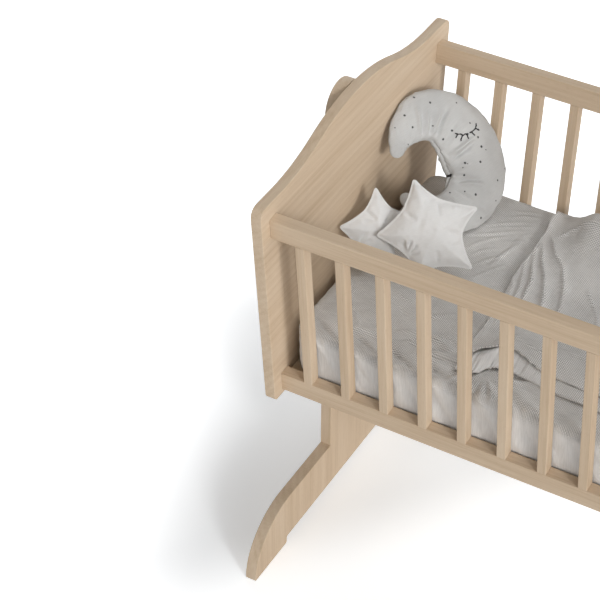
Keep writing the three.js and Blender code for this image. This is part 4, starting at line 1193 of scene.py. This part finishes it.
def evenly(outline, spacing):
    """The same closed outline with points evenly spaced along it."""
    closed = np.concatenate([outline, outline[:1]])
    gone = run_along(closed)
    at = np.linspace(0, gone[-1], int(gone[-1] / spacing) + 1)[:-1]
    return np.stack([np.interp(at, gone, closed[:, 0]), np.interp(at, gone, closed[:, 1])], axis=1)


def moved_out(outline, depth):
    """A closed outline, drawn anticlockwise, with its points moved outwards."""
    along = np.roll(outline, -1, axis=0) - np.roll(outline, 1, axis=0)
    along /= np.linalg.norm(along, axis=1, keepdims=True)
    return outline + depth * np.stack([along[:, 1], -along[:, 0]], axis=1)


def seam_line(outline, depth, spacing):
    """The line a depth inside an outline, without the points that would cross over at its tips."""
    close = evenly(outline, spacing / 3)
    inside = moved_out(close, -depth)
    clear = np.min(np.hypot(inside[:, :1] - close[:, 0], inside[:, 1:] - close[:, 1]), axis=1)
    return evenly(inside[clear > depth * 0.92], spacing)


def panel(outline, spacing):
    """Triangles of even size that fill an outline. The outline's points come first."""
    low, high = outline.min(axis=0), outline.max(axis=0)
    inner = []
    for k, y in enumerate(np.arange(low[1], high[1], spacing * 0.866)):
        for x in np.arange(low[0] + (k % 2) * spacing / 2, high[0], spacing):
            inner.append((x, y))
    inner = np.array(inner)
    a, b = outline, np.roll(outline, -1, axis=0)
    crosses = (a[:, 1] > inner[:, 1:]) != (b[:, 1] > inner[:, 1:])
    rise = np.where(b[:, 1] == a[:, 1], 1e-12, b[:, 1] - a[:, 1])
    reach = a[:, 0] + (inner[:, 1:] - a[:, 1]) / rise * (b - a)[:, 0]
    within = ((crosses & (inner[:, :1] < reach)).sum(axis=1) % 2) == 1
    clear = np.min(np.hypot(inner[:, :1] - a[:, 0], inner[:, 1:] - a[:, 1]), axis=1) > spacing * 0.62
    spots = np.concatenate([outline, inner[within & clear]])
    count = len(outline)
    edges = [(k, (k + 1) % count) for k in range(count)]
    made = delaunay_2d_cdt([Vector(spot) for spot in spots], edges, [], 1, 1e-7)
    return spots, [tuple(made[3][i][0] for i in face) for face in made[2]]


def turned_over(faces, rim, total, rim_start):
    """The back panel's faces. Its rim starts at rim_start, and its other points follow the front's."""
    follow = total - rim
    return [tuple(i + (rim_start if i < rim else follow) for i in reversed(face)) for face in faces]


def stuffed_star(name, star, spacing):
    """Two panels, sewn together and blown out, with the creases pressed in and the lip round them."""
    outline = seam_line(star_outline(star, 24), lip_width, spacing)
    spots, faces = panel(outline, spacing)
    rim, total = len(outline), len(spots)
    turn = np.arctan2(spots[:, 1], spots[:, 0])
    order = np.argsort(turn[:rim])
    reach = np.interp(turn, turn[:rim][order], np.hypot(*outline.T)[order], period=math.tau)
    scale = np.clip(np.hypot(*spots.T) / reach, 0, 1)
    scale[:rim] = 1
    crown = star["thick"] * star_crown * (1 - scale ** 2.4) ** 0.75
    front, back = np.column_stack([spots, crown]), np.column_stack([spots[rim:], -crown[rim:]])
    both = faces + turned_over(faces, rim, total, 0)
    made = piece(name, np.concatenate([front, back]), both, star_linen)
    cut = np.column_stack([np.concatenate([spots, spots[rim:]]) * star_ease, np.zeros(2 * total - rim)])
    puff(made, cut, range(rim), pressure=3.5, frames=22, most=0.008)
    stuffed, outward = rows_of(made.data, "co"), rows_of(made.data, "normal")
    bpy.data.objects.remove(made)
    x, y = stuffed[:, 0], stuffed[:, 1]
    lift = star_bump_rise * ripple(stuffed, star_bump_size, 21)
    lift += star_crinkle_rise * ripple(stuffed, star_crinkle_size, 22)
    away = np.hypot(x[:, None] - outline[:, 0], y[:, None] - outline[:, 1])
    nearest = np.argmin(away, axis=1)
    near_seam = np.clip(1 - away[np.arange(len(x)), nearest] / star_pucker_reach, 0, 1)
    gone = run_along(outline)
    steps = gone[:rim] / star_pucker_pitch
    puckers = np.array([noise.noise(Vector((step, 0.5, 0.5))) for step in steps])
    lift += star_pucker_rise * puckers[nearest] * near_seam
    for line, spread, rise in star["creases"]:
        crease = along_fold(x, y, line, spread, rise * star_crease_rise, tail=0.25)
        lift += np.where(stuffed[:, 2] >= 0, crease, 0)
    lift[:rim] = 0
    stuffed = stuffed + outward * lift[:, None]
    lips = []
    for out, height in ((0, lip_edge), (lip_width - lip_round, lip_swell), (lip_width, 0),
                        (lip_width - lip_round, -lip_swell), (0, -lip_edge)):
        lips.append(np.column_stack([moved_out(outline, out), np.full(rim, height)]))
    points = np.concatenate([lips[0], stuffed[rim:total], stuffed[total:]] + lips[1:])
    base = [0] + [2 * total - rim + k * rim for k in range(4)]
    final = faces + turned_over(faces, rim, total, base[4])
    for first, second in zip(base, base[1:]):
        for i in range(rim):
            j = (i + 1) % rim
            final.append((first + i, second + i, second + j, first + j))
    star_piece = piece(name.replace("cushion", "stuffed"), points, final, star_linen)
    cloth_map(star_piece, points[:, :2])
    smooth = star_piece.modifiers.new("smooth", "SUBSURF")
    smooth.levels = smooth.render_levels = 1
    return star_piece


for star_name, star in stars.items():
    stuffed = stuffed_star(star_name, star, star_skin)
    star_pose = cushion_frame(*star["place"])
    for vertex in stuffed.data.vertices:
        vertex.co = star_pose @ vertex.co
    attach(stuffed, "cradle")
    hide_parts(star_name)


# Screws: zinc-plated screws with a cross recess, sunk flush. Two hold each rail end through the
# end board, and a row of six, driven outwards from inside, holds each ledge to its low rail.
screw_sink, screw_foot, screw_lift = 0.0009, -0.0016, 0.0001
screw_profile = [(0.0014, 0.00045), (0.0030, 0.00040), (0.0038, 0.00025), (0.0042, -0.0004)]
cross_half, cross_reach = 0.0006, 0.0032


def screw_head(name):
    """A shallow round head with a cross cut into it, its middle at the surface of the wood."""
    sides = 32
    rings = []
    for radius, height in screw_profile:
        ring = []
        for k in range(sides):
            a = math.tau * k / sides
            x, y = radius * math.cos(a), radius * math.sin(a)
            in_cross = min(abs(x), abs(y)) < cross_half and max(abs(x), abs(y)) < cross_reach
            ring.append((x, y, height - (screw_sink if in_cross else 0)))
        rings.append(ring)
    rings.append([(x, y, screw_foot) for x, y, _ in rings[-1]])
    middle = (0, 0, screw_profile[0][1] - screw_sink)
    points, faces = lathe_skin(rings, middle, (0, 0, screw_foot))
    return piece(name, points, faces, zinc)


screw_rows = []
for face, way in ((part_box("headboard")[0][0], -1), (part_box("footboard")[1][0], 1)):
    for rail in rails:
        low, high = (Vector(corner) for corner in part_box(rail))
        middle = (low + high) / 2
        for share in (-0.24, 0.24):
            rise = (high.z - low.z) * share
            lean = math.copysign(side_lean, middle.y) * rise
            spot = (face + way * screw_lift, middle.y + lean, middle.z + rise)
            turn = len(screw_rows) * 1.7
            screw_rows.append((spot, (way, 0, 0), (0, math.cos(turn), math.sin(turn))))
rail_screws = set_out("rail_screws", *zip(*screw_rows), screw_head("rail_screw"), zinc, 0.02)
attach(rail_screws, "cradle")

ledge_rows = []
for side, inward in (("near", 1), ("far", -1)):
    low, high = (Vector(corner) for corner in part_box(f"ledge_{side}"))
    inner_face = (high.y if inward > 0 else low.y) + inward * screw_lift
    for k in range(6):
        spot = (low.x + (high.x - low.x) * (k + 0.5) / 6, inner_face, (low.z + high.z) / 2)
        ledge_rows.append((spot, (0, inward, 0), (math.cos(k * 1.3), 0, math.sin(k * 1.3))))
ledge_screws = set_out("ledge_screws", *zip(*ledge_rows), screw_head("ledge_screw"), zinc, 0.02)
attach(ledge_screws, "cradle")
